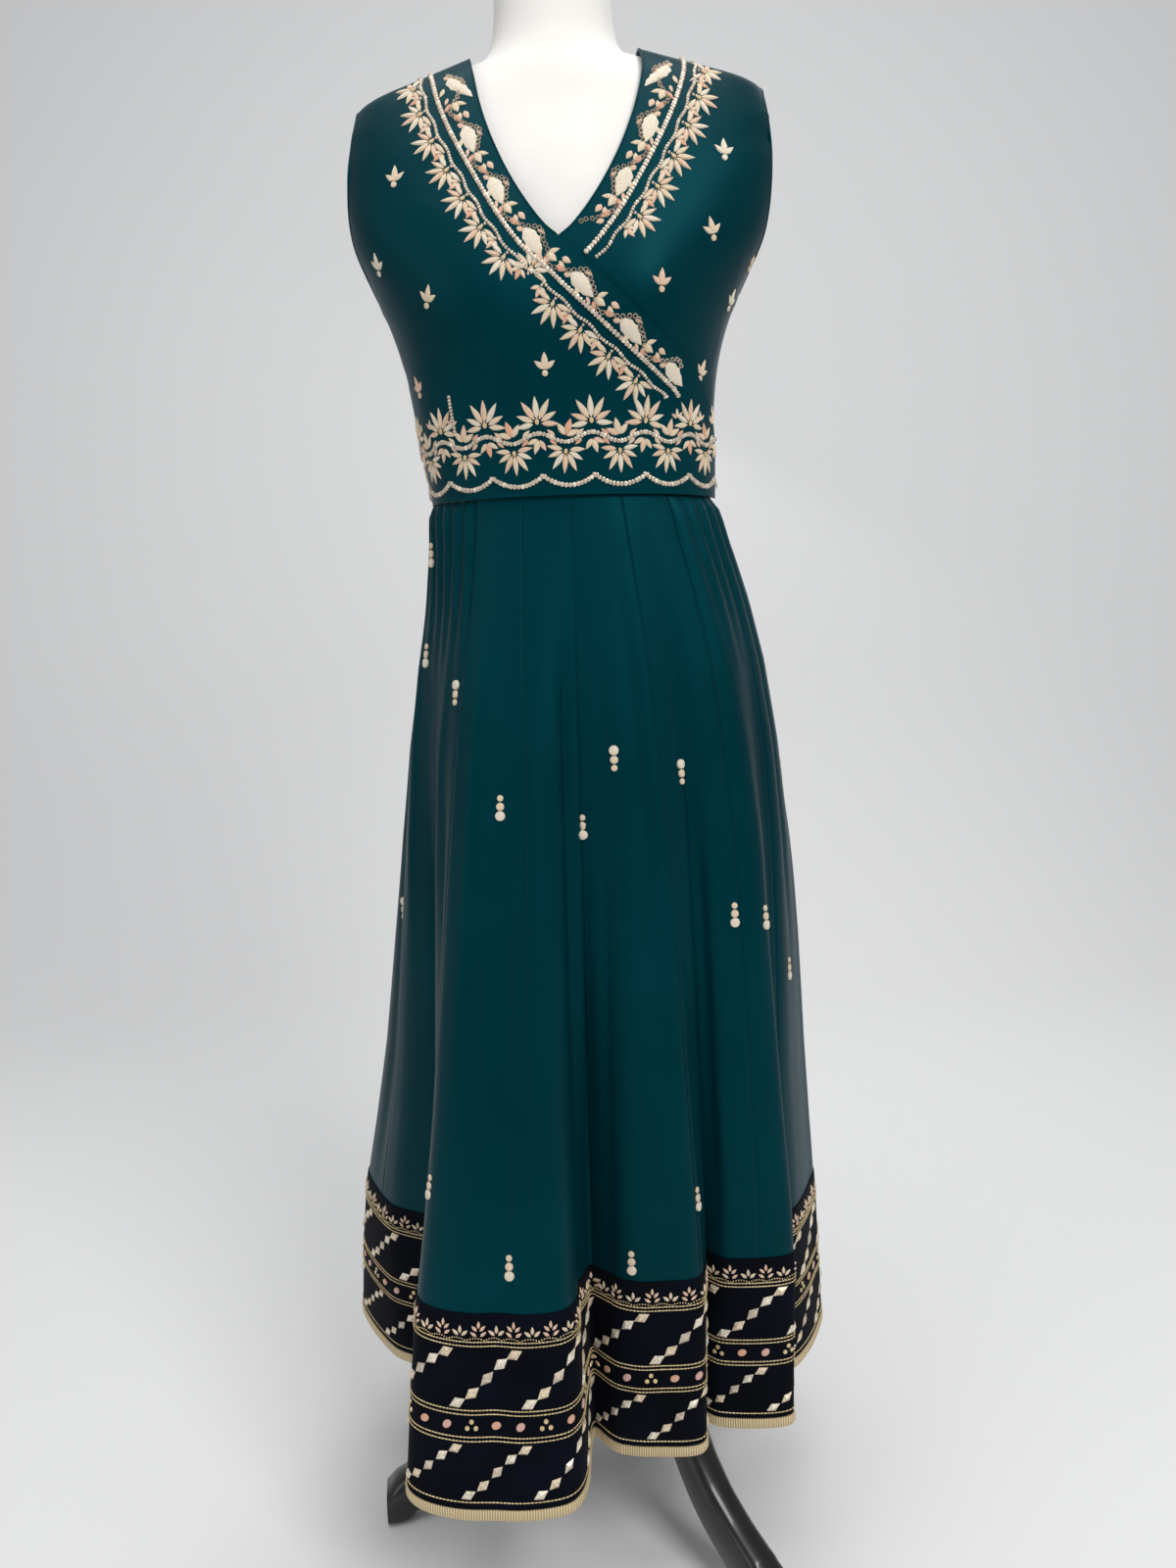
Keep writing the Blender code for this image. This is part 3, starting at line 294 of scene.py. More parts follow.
def at_share(values, s):
    place = (s % 1.0) * HEM_SAMPLES
    i = place.astype(int)
    f = (place - i)[..., None]
    return values[i % HEM_SAMPLES] * (1 - f) + values[(i + 1) % HEM_SAMPLES] * f


def gather_wave(s, drop):
    position = (s % 1.0) * GORES
    gore = np.floor(position).astype(int) % GORES
    fade = smooth_step(1.0 - drop / GATHER_LENGTH) * smooth_step(drop / 0.012) * np.isin(gore, (2, 3, 4, 11, 12, 13))
    fine = 0.10 * (1.0 - np.cos(2 * np.pi * 7 * position)) * smooth_step(1.0 - drop / 0.09)
    return GATHER_DEPTH * fade * ((1.0 - np.cos(2 * np.pi * GATHERS_PER_GORE * position)) / 2 + fine)


def skirt_point(s, t):
    waist, mean = at_share(WAIST, s), at_share(HEM_MEAN, s)
    side = mean[..., 0] / np.linalg.norm(mean, axis=-1)
    power = HIP_EXPONENT - HIP_LEAN * side
    start = HIP_SOFTENING**power
    spread = ((t + HIP_SOFTENING) ** power - start) / ((1 + HIP_SOFTENING) ** power - start)
    plan = waist + (mean - waist) * spread[..., None] + at_share(HEM_FOLD, s) * (t**FOLD_GROWTH)[..., None]
    ease = at_share(HEM_EASE, s)
    z = WAIST_Z + (HEM_Z + ease[..., 0] * t - WAIST_Z) * t
    below = np.maximum((WAIST_Z - z) / (WAIST_Z - HEM_Z) - TUCK_START, 0.0) / (1.0 - TUCK_START)
    plan = plan + unit(plan) * (gather_wave(s, WAIST_Z - z) - ease[..., 1] * below**1.5)[..., None]
    out = np.where(side > 0, np.interp(z, SIDES[:, 0], SIDES[:, 1]), np.interp(z, SIDES[:, 0], SIDES[:, 2]))
    return np.stack((plan[..., 0] + side * np.abs(side) * out, plan[..., 1], z), -1)


def creases(s, t):
    total = np.zeros(np.shape(s))
    for place, lean, top, foot, height, width in CREASES:
        gap = (s - place - lean * (1.0 - t) * 2 + 0.5) % 1.0 - 0.5
        along = smooth_step((t - top) / 0.16) * smooth_step((foot - t) / 0.20)
        total += CREASE_GAIN * height * along * np.exp(-(gap / width) ** 2)
    return total


SKIRT_S, SKIRT_T = 1536, 160


def bake_skirt():
    """Points and normals of the skirt's inner face, with its creases, on a fine grid."""
    s, t = np.meshgrid(np.arange(SKIRT_S) / SKIRT_S, np.linspace(0.0, 1.0, SKIRT_T), indexing="ij")
    points = skirt_point(s, t)
    for step in (0, 1):
        along = np.roll(points, -1, axis=0) - np.roll(points, 1, axis=0)
        down = np.gradient(points, axis=1)
        normals = unit(np.cross(down, along))
        if step == 0:
            points = points + normals * creases(s, t)[..., None]
    return points, normals


SKIRT_POINTS, SKIRT_NORMALS = bake_skirt()


def on_grid(grid, s, t):
    x, y = (s % 1.0) * SKIRT_S, np.clip(t, 0.0, 1.0) * (SKIRT_T - 1)
    i, j = x.astype(int) % SKIRT_S, np.minimum(y.astype(int), SKIRT_T - 2)
    f, g = (x - np.floor(x))[..., None], (y - j)[..., None]
    k = (i + 1) % SKIRT_S
    return (grid[i, j] * (1 - f) + grid[k, j] * f) * (1 - g) + (grid[i, j + 1] * (1 - f) + grid[k, j + 1] * f) * g


def z_share(z):
    return (WAIST_Z - z) / (WAIST_Z - HEM_Z)


# Meshes

def add_mesh(name, points, faces, material, tints=None, uvs=None, sharp=50):
    mesh = bpy.data.meshes.new(name)
    mesh.from_pydata(np.asarray(points, float).tolist(), [], [list(map(int, f)) for f in faces])
    if tints is not None:
        layer = mesh.color_attributes.new("tint", "FLOAT_COLOR", "POINT")
        layer.data.foreach_set("color", np.hstack([tints, np.ones((len(tints), 1))]).astype(np.float32).ravel())
    if uvs is not None:
        layer = mesh.uv_layers.new(name="cloth")
        layer.data.foreach_set("uv", np.asarray(uvs, np.float32).ravel())
    mesh.shade_smooth()
    mesh.set_sharp_from_angle(angle=math.radians(sharp))
    mesh.materials.append(material)
    obj = bpy.data.objects.new(name, mesh)
    bpy.context.scene.collection.objects.link(obj)
    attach(obj, "root")
    return obj


def shell(name, inner, outer, material, closed=False, uv=None):
    """A thin closed wall between two grids of points, rows by columns; closed joins the columns."""
    rows, columns = inner.shape[:2]
    points = np.vstack([inner.reshape(-1, 3), outer.reshape(-1, 3)]) + OFFSET
    half, faces, corners = rows * columns, [], []
    span = columns if closed else columns - 1

    def add(face, spots):
        faces.append(face)
        corners.extend(spots)

    for r in range(rows - 1):
        for c in range(span):
            d = (c + 1) % columns
            a, b, e, f = r * columns + c, r * columns + d, (r + 1) * columns + d, (r + 1) * columns + c
            quad = ((r, c), (r, c + 1), (r + 1, c + 1), (r + 1, c))
            add((half + a, half + b, half + e, half + f), quad)
            add((a, f, e, b), (quad[0], quad[3], quad[2], quad[1]))
    for c in range(span):
        d = (c + 1) % columns
        for r, way in ((0, 1), (rows - 1, -1)):
            a, b = r * columns + c, r * columns + d
            quad = ((a, b, half + b, half + a), ((r, c), (r, c + 1), (r, c + 1), (r, c)))
            add(quad[0][::way], quad[1][::way])
    if not closed:
        for r in range(rows - 1):
            for c, way in ((0, -1), (columns - 1, 1)):
                a, b = r * columns + c, (r + 1) * columns + c
                quad = ((a, b, half + b, half + a), ((r, c), (r + 1, c), (r + 1, c), (r, c)))
                add(quad[0][::way], quad[1][::way])
    scale = np.array(uv if uv else (1.0, 1.0))
    uvs = np.array(corners, float)[:, ::-1] / np.array((span, rows - 1)) * scale
    return add_mesh(name, points, faces, material, uvs=uvs)


# Materials

def material(name, colour, roughness, build=None, **inputs):
    made = bpy.data.materials.new(name)
    made.use_nodes = True
    nodes, links = made.node_tree.nodes, made.node_tree.links
    shader = nodes["Principled BSDF"]
    shader.inputs["Base Color"].default_value = (*colour, 1.0)
    shader.inputs["Roughness"].default_value = roughness
    for key, value in inputs.items():
        shader.inputs[key.replace("_", " ")].default_value = value
    if build:
        build(nodes, links, shader, colour)
    return made


def node(nodes, kind, **values):
    made = nodes.new(kind)
    for key, value in values.items():
        if hasattr(made, key):
            setattr(made, key, value)
        else:
            made.inputs[key.replace("_", " ")].default_value = value
    return made


def shade(nodes, links, shader, source, dark, light, low=0.3, high=0.7):
    """Blends two colours by a texture and feeds the base colour."""
    ramp = node(nodes, "ShaderNodeValToRGB")
    ramp.color_ramp.elements[0].position, ramp.color_ramp.elements[1].position = low, high
    ramp.color_ramp.elements[0].color, ramp.color_ramp.elements[1].color = (*dark, 1.0), (*light, 1.0)
    links.new(source, ramp.inputs["Fac"])
    links.new(ramp.outputs["Color"], shader.inputs["Base Color"])
    return ramp


def scaled(colour, by):
    return tuple(min(c * by, 1.0) for c in colour)


def bump(nodes, links, shader, sources):
    """Chains bumps: each source is (height output, strength, distance)."""
    before = None
    for height, strength, distance in sources:
        made = node(nodes, "ShaderNodeBump", Strength=strength, Distance=distance)
        links.new(height, made.inputs["Height"])
        if before:
            links.new(before.outputs["Normal"], made.inputs["Normal"])
        before = made
    links.new(before.outputs["Normal"], shader.inputs["Normal"])


def math_node(nodes, links, operation, first, second=None, third=None):
    made = node(nodes, "ShaderNodeMath", operation=operation)
    for place, value in enumerate((first, second, third)):
        if value is None:
            continue
        if hasattr(value, "is_output"):
            links.new(value, made.inputs[place])
        else:
            made.inputs[place].default_value = value
    return made.outputs[0]


def crepe(seams):
    def build(nodes, links, shader, colour):
        coords = node(nodes, "ShaderNodeTexCoord")
        cloud = node(nodes, "ShaderNodeTexNoise", Scale=5.0, Detail=3.0)
        grain = node(nodes, "ShaderNodeTexNoise", Scale=1400.0, Detail=2.0)
        soft = node(nodes, "ShaderNodeTexNoise", Scale=42.0, Detail=2.0)
        for texture in (cloud, grain, soft):
            links.new(coords.outputs["Object"], texture.inputs["Vector"])
        shade(nodes, links, shader, cloud.outputs["Fac"], scaled(colour, 0.82), scaled(colour, 1.15))
        sources = [(soft.outputs["Fac"], 0.20, 0.0016), (grain.outputs["Fac"], 0.35, 0.00016)]
        if seams:
            split = node(nodes, "ShaderNodeSeparateXYZ")
            uv = node(nodes, "ShaderNodeUVMap", uv_map="cloth")
            links.new(uv.outputs["UV"], split.inputs["Vector"])
            place = math_node(nodes, links, "PINGPONG", split.outputs["X"], 0.5)
            line = math_node(nodes, links, "SMOOTH_MIN", math_node(nodes, links, "MULTIPLY", place, 34.0), 1.0, 0.3)
            sources.append((line, 0.8, 0.0012))
        bump(nodes, links, shader, sources)
    return build


def velvet_build(nodes, links, shader, colour):
    coords = node(nodes, "ShaderNodeTexCoord")
    cloud = node(nodes, "ShaderNodeTexNoise", Scale=18.0, Detail=4.0)
    pile = node(nodes, "ShaderNodeTexNoise", Scale=2200.0, Detail=1.0)
    for texture in (cloud, pile):
        links.new(coords.outputs["Object"], texture.inputs["Vector"])
    shade(nodes, links, shader, cloud.outputs["Fac"], scaled(colour, 0.6), scaled(colour, 1.7))
    bump(nodes, links, shader, [(pile.outputs["Fac"], 0.5, 0.0003)])


def thread_build(nodes, links, shader, colour):
    coords = node(nodes, "ShaderNodeTexCoord")
    tint = node(nodes, "ShaderNodeAttribute", attribute_name="tint")
    strands = node(nodes, "ShaderNodeTexWave", Scale=520.0, Distortion=3.5, Detail=2.0)
    specks = node(nodes, "ShaderNodeTexNoise", Scale=700.0, Detail=2.0)
    for texture in (strands, specks):
        links.new(coords.outputs["Object"], texture.inputs["Vector"])
    mix = node(nodes, "ShaderNodeMix", data_type="RGBA", blend_type="MULTIPLY")
    ramp = node(nodes, "ShaderNodeValToRGB")
    ramp.color_ramp.elements[0].color, ramp.color_ramp.elements[1].color = (0.55, 0.50, 0.45, 1.0), (1.0, 1.0, 1.0, 1.0)
    links.new(specks.outputs["Fac"], ramp.inputs["Fac"])
    mix.inputs["Factor"].default_value = 0.8
    links.new(tint.outputs["Color"], mix.inputs["A"])
    links.new(ramp.outputs["Color"], mix.inputs["B"])
    links.new(mix.outputs["Result"], shader.inputs["Base Color"])
    bump(nodes, links, shader, [(strands.outputs["Fac"], 0.5, 0.0003), (specks.outputs["Fac"], 0.3, 0.0002)])


def bead_build(nodes, links, shader, colour):
    coords = node(nodes, "ShaderNodeTexCoord")
    tint = node(nodes, "ShaderNodeAttribute", attribute_name="tint")
    specks = node(nodes, "ShaderNodeTexNoise", Scale=420.0, Detail=2.0)
    links.new(coords.outputs["Object"], specks.inputs["Vector"])
    ramp = node(nodes, "ShaderNodeValToRGB")
    ramp.color_ramp.elements[0].position, ramp.color_ramp.elements[1].position = 0.35, 0.65
    ramp.color_ramp.elements[0].color, ramp.color_ramp.elements[1].color = (0.45, 0.43, 0.40, 1.0), (1.0, 1.0, 1.0, 1.0)
    links.new(specks.outputs["Fac"], ramp.inputs["Fac"])
    mix = node(nodes, "ShaderNodeMix", data_type="RGBA", blend_type="MULTIPLY")
    mix.inputs["Factor"].default_value = 0.7
    links.new(tint.outputs["Color"], mix.inputs["A"])
    links.new(ramp.outputs["Color"], mix.inputs["B"])
    links.new(mix.outputs["Result"], shader.inputs["Base Color"])


def ribs_with_painted_groove_shade(nodes, links, shader, colour):
    uv = node(nodes, "ShaderNodeUVMap", uv_map="cloth")
    split = node(nodes, "ShaderNodeSeparateXYZ")
    links.new(uv.outputs["UV"], split.inputs["Vector"])
    ribs = math_node(nodes, links, "SINE", math_node(nodes, links, "MULTIPLY", split.outputs["X"], 2 * math.pi * 900))
    half = math_node(nodes, links, "MULTIPLY_ADD", ribs, 0.5, 0.5)
    # Painted shade: the grooves between the ribs are darkened, following the same rib height that drives the bump.
    shade(nodes, links, shader, half, scaled(colour, 0.45), scaled(colour, 1.05), 0.0, 0.6)
    bump(nodes, links, shader, [(half, 1.0, 0.0010)])


def jersey_build(nodes, links, shader, colour):
    coords = node(nodes, "ShaderNodeTexCoord")
    cloud = node(nodes, "ShaderNodeTexNoise", Scale=9.0, Detail=3.0)
    knit = node(nodes, "ShaderNodeTexNoise", Scale=1500.0, Detail=1.0)
    for texture in (cloud, knit):
        links.new(coords.outputs["Object"], texture.inputs["Vector"])
    shade(nodes, links, shader, cloud.outputs["Fac"], scaled(colour, 0.93), scaled(colour, 1.05))
    bump(nodes, links, shader, [(knit.outputs["Fac"], 0.4, 0.0002)])


def wood_build(nodes, links, shader, colour):
    coords = node(nodes, "ShaderNodeTexCoord")
    grain = node(nodes, "ShaderNodeTexNoise", Scale=30.0, Detail=5.0)
    links.new(coords.outputs["Object"], grain.inputs["Vector"])
    shade(nodes, links, shader, grain.outputs["Fac"], scaled(colour, 0.6), scaled(colour, 2.2))
    bump(nodes, links, shader, [(grain.outputs["Fac"], 0.08, 0.001)])


SATIN = {"Specular_IOR_Level": 0.16, "Specular_Tint": (0.05, 0.75, 0.90, 1.0)}
TEAL = material("teal_cloth", COLOUR["teal"], 0.44, crepe(False), **SATIN)
TEAL_SKIRT = material("teal_gores", COLOUR["teal"], 0.44, crepe(True), **SATIN)
VELVET_PILE = material(
    "velvet_pile", COLOUR["velvet"], 0.92, velvet_build, Sheen_Weight=0.02, Sheen_Roughness=0.35, Specular_IOR_Level=0.1
)
THREAD = material("raised_thread", COLOUR["cream"], 0.52, thread_build, Sheen_Weight=0.2, Specular_IOR_Level=0.45)
BEADS = material("small_beads", COLOUR["silver"], 0.26, bead_build, Metallic=0.15, Specular_IOR_Level=0.7)
RIBS = material("ribbed_braid", (0.84, 0.66, 0.38), 0.6, ribs_with_painted_groove_shade)
LINEN = material("form_jersey", COLOUR["linen"], 0.85, jersey_build, Sheen_Weight=0.2)
WOOD = material("black_wood", COLOUR["wood"], 0.30, wood_build, Coat_Weight=0.3)


# Cloth pieces

def panel(name, mirror, edge, armhole_deg, turn, over, columns=60, rows=57):
    v = np.linspace(0.0, 1.0, rows)
    start, start_z = edge(v)
    end, end_z = side_edge(v, armhole_deg, turn)
    share = np.linspace(0.0, 1.0, columns + 1)
    angle = mirror * (start[:, None] + (end - start)[:, None] * share)
    z = start_z[:, None] + (end_z - start_z)[:, None] * share
    base, normal = body_point(angle, z), body_normal(angle, z)
    normal[0] = unit(normal[0] * (1.0, 1.0, 0.0))
    base[0, :, 2] += SEAM_GAP / 2
    along = unit(body_point(angle + 0.6, z) - body_point(angle - 0.6, z))
    gap = turn * mirror * SEAM_GAP / 2
    base[:, -1] += along[:, -1] * gap
    base[-1, :-1] += along[-1, :-1] * gap
    if turn > 0:
        seam = v <= BACK_NECK_SHARE
        base[seam, 0] -= along[seam, 0] * mirror * SEAM_GAP / 2
    fade = smooth_step((z - WAIST_Z) / 0.02)
    away = (lap_lift(angle, z) if over else 0.0) + drags(angle, z) * fade
    inner = base + normal * away[..., None]
    outer = base + normal * (away + CLOTH)[..., None]
    if (mirror > 0) == (turn > 0):
        inner, outer = inner[:, ::-1], outer[:, ::-1]
    piece = shell(name, inner, outer, TEAL)
    return piece


def skirt_shell(name, low, high, rows, columns, thickness, made):
    s, t = np.meshgrid(np.arange(columns) / columns, np.linspace(low, high, rows), indexing="xy")
    points, normals = on_grid(SKIRT_POINTS, s, t), on_grid(SKIRT_NORMALS, s, t)
    for r in (0, -1):
        normals[r] = unit(normals[r] * (1.0, 1.0, 0.0))
    outer = points + normals * thickness
    return shell(name, points[::-1], outer[::-1], made, closed=True, uv=(GORES, 1.0))


EDGING_GAP, EDGING_HALF_DEPTH, EDGING_HALF_HEIGHT = 0.0007, 0.0031, 0.0055


def trim_ring():
    count, section = 1536, []
    s = np.arange(count) / count
    points = on_grid(SKIRT_POINTS, s, np.ones(count))
    normals = unit(on_grid(SKIRT_NORMALS, s, np.ones(count)) * (1.0, 1.0, 0.0))
    middle = points + normals * VELVET / 2 - np.array((0, 0, EDGING_GAP + EDGING_HALF_HEIGHT))
    for k in range(8):
        turn = math.radians(22.5 + 45 * k)
        c, s_turn = math.cos(turn), math.sin(turn)
        out = EDGING_HALF_DEPTH * math.copysign(abs(c) ** 0.7, c)
        up = EDGING_HALF_HEIGHT * math.copysign(abs(s_turn) ** 0.7, s_turn)
        section.append((out, up))
    rings = np.stack([middle + normals * out + np.array((0, 0, up)) for out, up in section], 1)
    faces, uvs = [], []
    for i in range(count):
        j = (i + 1) % count
        for k in range(8):
            m = (k + 1) % 8
            faces.append((8 * i + k, 8 * i + m, 8 * j + m, 8 * j + k))
            here, there, low, high = i / count, (i + 1) / count, k / 8, (k + 1) / 8
            uvs += [(here, low), (here, high), (there, high), (there, low)]
    return add_mesh("hem_edging", rings.reshape(-1, 3) + OFFSET, faces, RIBS, uvs=uvs, sharp=60)


def tube(name, line, radius, made, slot, sides=6, closed=False, tints=None):
    """A round cord along a line of points."""
    line = np.asarray(line, float)
    if closed:
        along = unit(np.roll(line, -1, axis=0) - np.roll(line, 1, axis=0))
    else:
        along = unit(np.gradient(line, axis=0))
    side = unit(np.cross(along, np.array((0.3, 0.4, 1.0))))
    up = np.cross(side, along)
    turns = np.arange(sides) * 2 * math.pi / sides
    rings = np.stack([line + (side * math.cos(a) + up * math.sin(a)) * radius for a in turns], 1)
    count, faces = len(line), []
    for i in range(count if closed else count - 1):
        j = (i + 1) % count
        for k in range(sides):
            m = (k + 1) % sides
            faces.append((sides * i + k, sides * i + m, sides * j + m, sides * j + k))
    if not closed:
        faces += [tuple(range(sides - 1, -1, -1)), tuple(sides * (count - 1) + k for k in range(sides))]
    return rings.reshape(-1, 3) + OFFSET, faces


def join(name, parts, made):
    points, faces = [], []
    for p, f in parts:
        first = sum(len(q) for q in points)
        points.append(p)
        faces += [tuple(first + i for i in face) for face in f]
    return add_mesh(name, np.vstack(points), faces, made)


front_over = panel("front_over_cloth", -1, lambda v: front_edge(v, True), ARMHOLE_FRONT_DEG, -1, True, 76)
front_under = panel("front_under_cloth", 1, lambda v: front_edge(v, False), ARMHOLE_FRONT_DEG, -1, False, 64)
back_right = panel("back_right_cloth", -1, back_edge, ARMHOLE_BACK_DEG, 1, False, 44)
back_left = panel("back_left_cloth", 1, back_edge, ARMHOLE_BACK_DEG, 1, False, 44)
skirt = skirt_shell(
    "skirt_cloth", z_share(WAIST_Z - SEAM_GAP), z_share(BAND_TOP_Z + SEAM_GAP), 72, 576, CLOTH, TEAL_SKIRT
)
band = skirt_shell("velvet_band", z_share(BAND_TOP_Z), 1.0, 20, 768, VELVET, VELVET_PILE)
edging = trim_ring()


def binding():
    """Narrow bound edges at the neckline and the armholes."""
    parts = []
    v = np.linspace(0.5, 0.995, 50)
    for mirror in (-1, 1):
        angle, z = front_edge(v)
        parts.append((mirror * angle + mirror * 0.3, z, lap_lift(mirror * angle, z) if mirror < 0 else 0 * z))
    v = np.linspace(BACK_NECK_SHARE, 0.995, 30)
    for mirror in (-1, 1):
        angle, z = back_edge(v)
        parts.append((mirror * angle, z, 0 * z))
    v = np.linspace(0.5, 0.985, 50)
    for mirror in (-1, 1):
        for degrees, turn in ((ARMHOLE_FRONT_DEG, -1), (ARMHOLE_BACK_DEG, 1)):
            angle, z = side_edge(v, degrees, turn)
            parts.append((mirror * angle, z, lap_lift(mirror * angle, z) if mirror < 0 and turn < 0 else 0 * z))
    made = []
    for angle, z, away in parts:
        line = body_point(angle, z) + body_normal(angle, z) * (away + CLOTH * 0.75)[:, None]
        made.append(tube("", line, 0.0011, None, None, sides=6))
    return join("bound_edges", made, TEAL)


edges = binding()


# Dress form and stand

def form_piece():
    levels = [np.linspace(0.8, 1.40, 40), np.linspace(1.40, 1.53, 46)[1:], np.linspace(1.53, 1.562, 6)[1:]]
    levels = np.concatenate(levels)
    angle = np.linspace(-180.0, 180.0, 121)[:-1]
    a, z = np.meshgrid(angle, levels)
    level = smooth_step((z - 1.433) / 0.03) * (1.0 - smooth_step((z - 1.490) / 0.008))
    ridge = smooth_step(1.4 - np.abs(np.abs(a) - 90.0) / 25.0)
    clear = FORM_CLEARANCE + (FORM_SHOULDER_CLEARANCE - FORM_CLEARANCE) * level * ridge + 0.0003
    points = body_point(a, z) - body_normal(a, z) * clear[..., None]
    points[0, :, 2] = FORM_BOTTOM_Z
    middle = np.array((body_section(np.array(FORM_TOP_Z))[4], 0.0, 0.0))
    rows = [points]
    for share, rise in ((0.97, 0.0035), (0.93, 0.0065), (0.86, 0.009), (0.70, 0.0098), (0.35, 0.0100)):
        ring = points[-1:] - middle
        ring = ring * (share, share, 1.0) + middle
        ring[..., 2] = 1.562 + rise
        rows.append(ring)
    grid = np.vstack(rows)
    rows, columns = grid.shape[:2]
    faces = [tuple(range(columns - 1, -1, -1)), tuple((rows - 1) * columns + c for c in range(columns))]
    for r in range(rows - 1):
        for c in range(columns):
            d = (c + 1) % columns
            faces.append((r * columns + c, r * columns + d, (r + 1) * columns + d, (r + 1) * columns + c))
    return add_mesh("form_body", grid.reshape(-1, 3) + OFFSET, faces, LINEN)


form = form_piece()
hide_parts("form_torso")

STAND_LEGS = (-52.0, 68.0, 188.0)
# reach, low, high, width of a leg
LEG = np.array((
    (0.0323, 0.165, 0.262, 0.038), (0.0600, 0.180, 0.268, 0.040), (0.0850, 0.168, 0.250, 0.041),
    (0.1050, 0.132, 0.212, 0.041), (0.1250, 0.094, 0.166, 0.039), (0.1450, 0.066, 0.131, 0.037),
    (0.1700, 0.044, 0.101, 0.036), (0.2000, 0.024, 0.078, 0.036), (0.2300, 0.008, 0.060, 0.038),
    (0.2380, 0.000, 0.053, 0.041), (0.2500, 0.000, 0.046, 0.044), (0.2610, 0.000, 0.034, 0.042),
))
# radius, height
COLUMN = np.array((
    (0.0200, 0.2803), (0.0290, 0.2835), (0.0300, 0.288), (0.0300, 0.296), (0.0225, 0.300),
    (0.0200, 0.306), (0.0240, 0.325), (0.0245, 0.335), (0.0225, 0.355), (0.0215, 0.368),
    (0.0255, 0.376), (0.0260, 0.384), (0.0250, 0.392), (0.0190, 0.400),
))


def leg_piece(index, degrees):
    turn = math.radians(degrees)
    out, across = np.array((math.cos(turn), math.sin(turn), 0.0)), np.array((-math.sin(turn), math.cos(turn), 0.0))
    reach = np.concatenate([np.linspace(LEG[0, 0], 0.23, 34), np.linspace(0.232, LEG[-1, 0], 12)])
    rings = []
    for r in reach:
        low, high, width = (np.interp(r, LEG[:, 0], LEG[:, k]) for k in (1, 2, 3))
        ring = []
        for k in range(20):
            a = 2 * math.pi * k / 20 - math.pi / 2
            c, s = math.cos(a), math.sin(a)
            x = width / 2 * math.copysign(abs(c) ** 0.55, c)
            y = (high - low) / 2 * math.copysign(abs(s) ** (0.35 if s < 0 else 0.75), s)
            ring.append(np.array((POLE_X, POLE_Y, (low + high) / 2 + y)) + out * r + across * x)
        rings.append(ring)
    rings = np.array(rings)
    for _ in range(2):
        rings[1:-1, :, 2] = (rings[:-2, :, 2] + 2 * rings[1:-1, :, 2] + rings[2:, :, 2]) / 4
    rings[..., 2] = np.maximum(rings[..., 2], 0.0)
    count, faces = len(rings), []
    for i in range(count - 1):
        faces += [(20 * i + k, 20 * i + (k + 1) % 20, 20 * i + 20 + (k + 1) % 20, 20 * i + 20 + k) for k in range(20)]
    faces += [tuple(range(19, -1, -1)), tuple(20 * (count - 1) + k for k in range(20))]
    piece = add_mesh(f"leg_{index + 1}", rings.reshape(-1, 3) + OFFSET, faces, WOOD, sharp=40)
    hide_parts(f"stand_leg_{index + 1}")
    return piece


def turned_piece(name, profile, node_name, sides=48):
    turn = np.arange(sides) * 2 * math.pi / sides
    ring = np.stack([np.cos(turn), np.sin(turn), 0 * turn], -1)
    points = np.vstack([ring * radius + (POLE_X, POLE_Y, z) for radius, z in profile])
    count = len(profile)
    faces = [tuple(range(sides - 1, -1, -1)), tuple((count - 1) * sides + k for k in range(sides))]
    for r in range(count - 1):
        for k in range(sides):
            m = (k + 1) % sides
            faces.append((r * sides + k, r * sides + m, (r + 1) * sides + m, (r + 1) * sides + k))
    piece = add_mesh(name, points + OFFSET, faces, WOOD, sharp=40)
    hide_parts(node_name)
    return piece


for index, degrees in enumerate(STAND_LEGS):
    leg_piece(index, degrees)
turned_piece("column", COLUMN, "stand_column")
turned_piece("pole", ((0.015, 0.4003), (0.015, 0.7997)), "stand_pole")
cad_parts["stand_block"].material_slots[0].material = WOOD

for piece, nodes in (
    (front_over, ("bodice_front_over",)), (front_under, ("bodice_front_under",)),
    (back_right, ("bodice_back_right",)), (back_left, ("bodice_back_left",)),
    (skirt, tuple(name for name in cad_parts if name.startswith("skirt_gore"))),
    (band, tuple(f"hem_band_{k}" for k in range(1, 9))), (edging, ("hem_trim",)),
):
    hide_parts(*nodes)

# Shapes of the raised work, in metres: across, up, and height over the cloth


def leaf(length, width, height=0.0013, belly=0.45, rows=5, notches=0, crease=0.3):
    """A padded leaf that grows from (0, 0) along the second axis."""
    t, x = np.linspace(0.0, 1.0, rows + 1)[:, None], np.linspace(-1.0, 1.0, 5)[None, :]
    swell = t ** (math.log(0.5) / math.log(belly))
    half = np.maximum(width / 2 * np.sin(np.pi * swell) ** 0.85, 0.02 * width)
    if notches:
        half = half * (1.0 - 0.20 * np.abs(np.sin(np.pi * notches * t)) * np.sin(np.pi * t) ** 0.5)
    body = np.maximum(1.0 - x * x, 0.0) ** 0.5 * np.sin(np.pi * np.clip(swell, 0.04, 0.96)) ** 0.5
    rise = height * (body - crease * np.exp(-((x / 0.25) ** 2)) * body) + 0.0001
    points = np.stack([x * half, t * length + 0 * x, rise], -1).reshape(-1, 3)
    faces = [(5 * r + c, 5 * r + c + 1, 5 * r + c + 6, 5 * r + c + 5) for r in range(rows) for c in range(4)]
    return points, faces


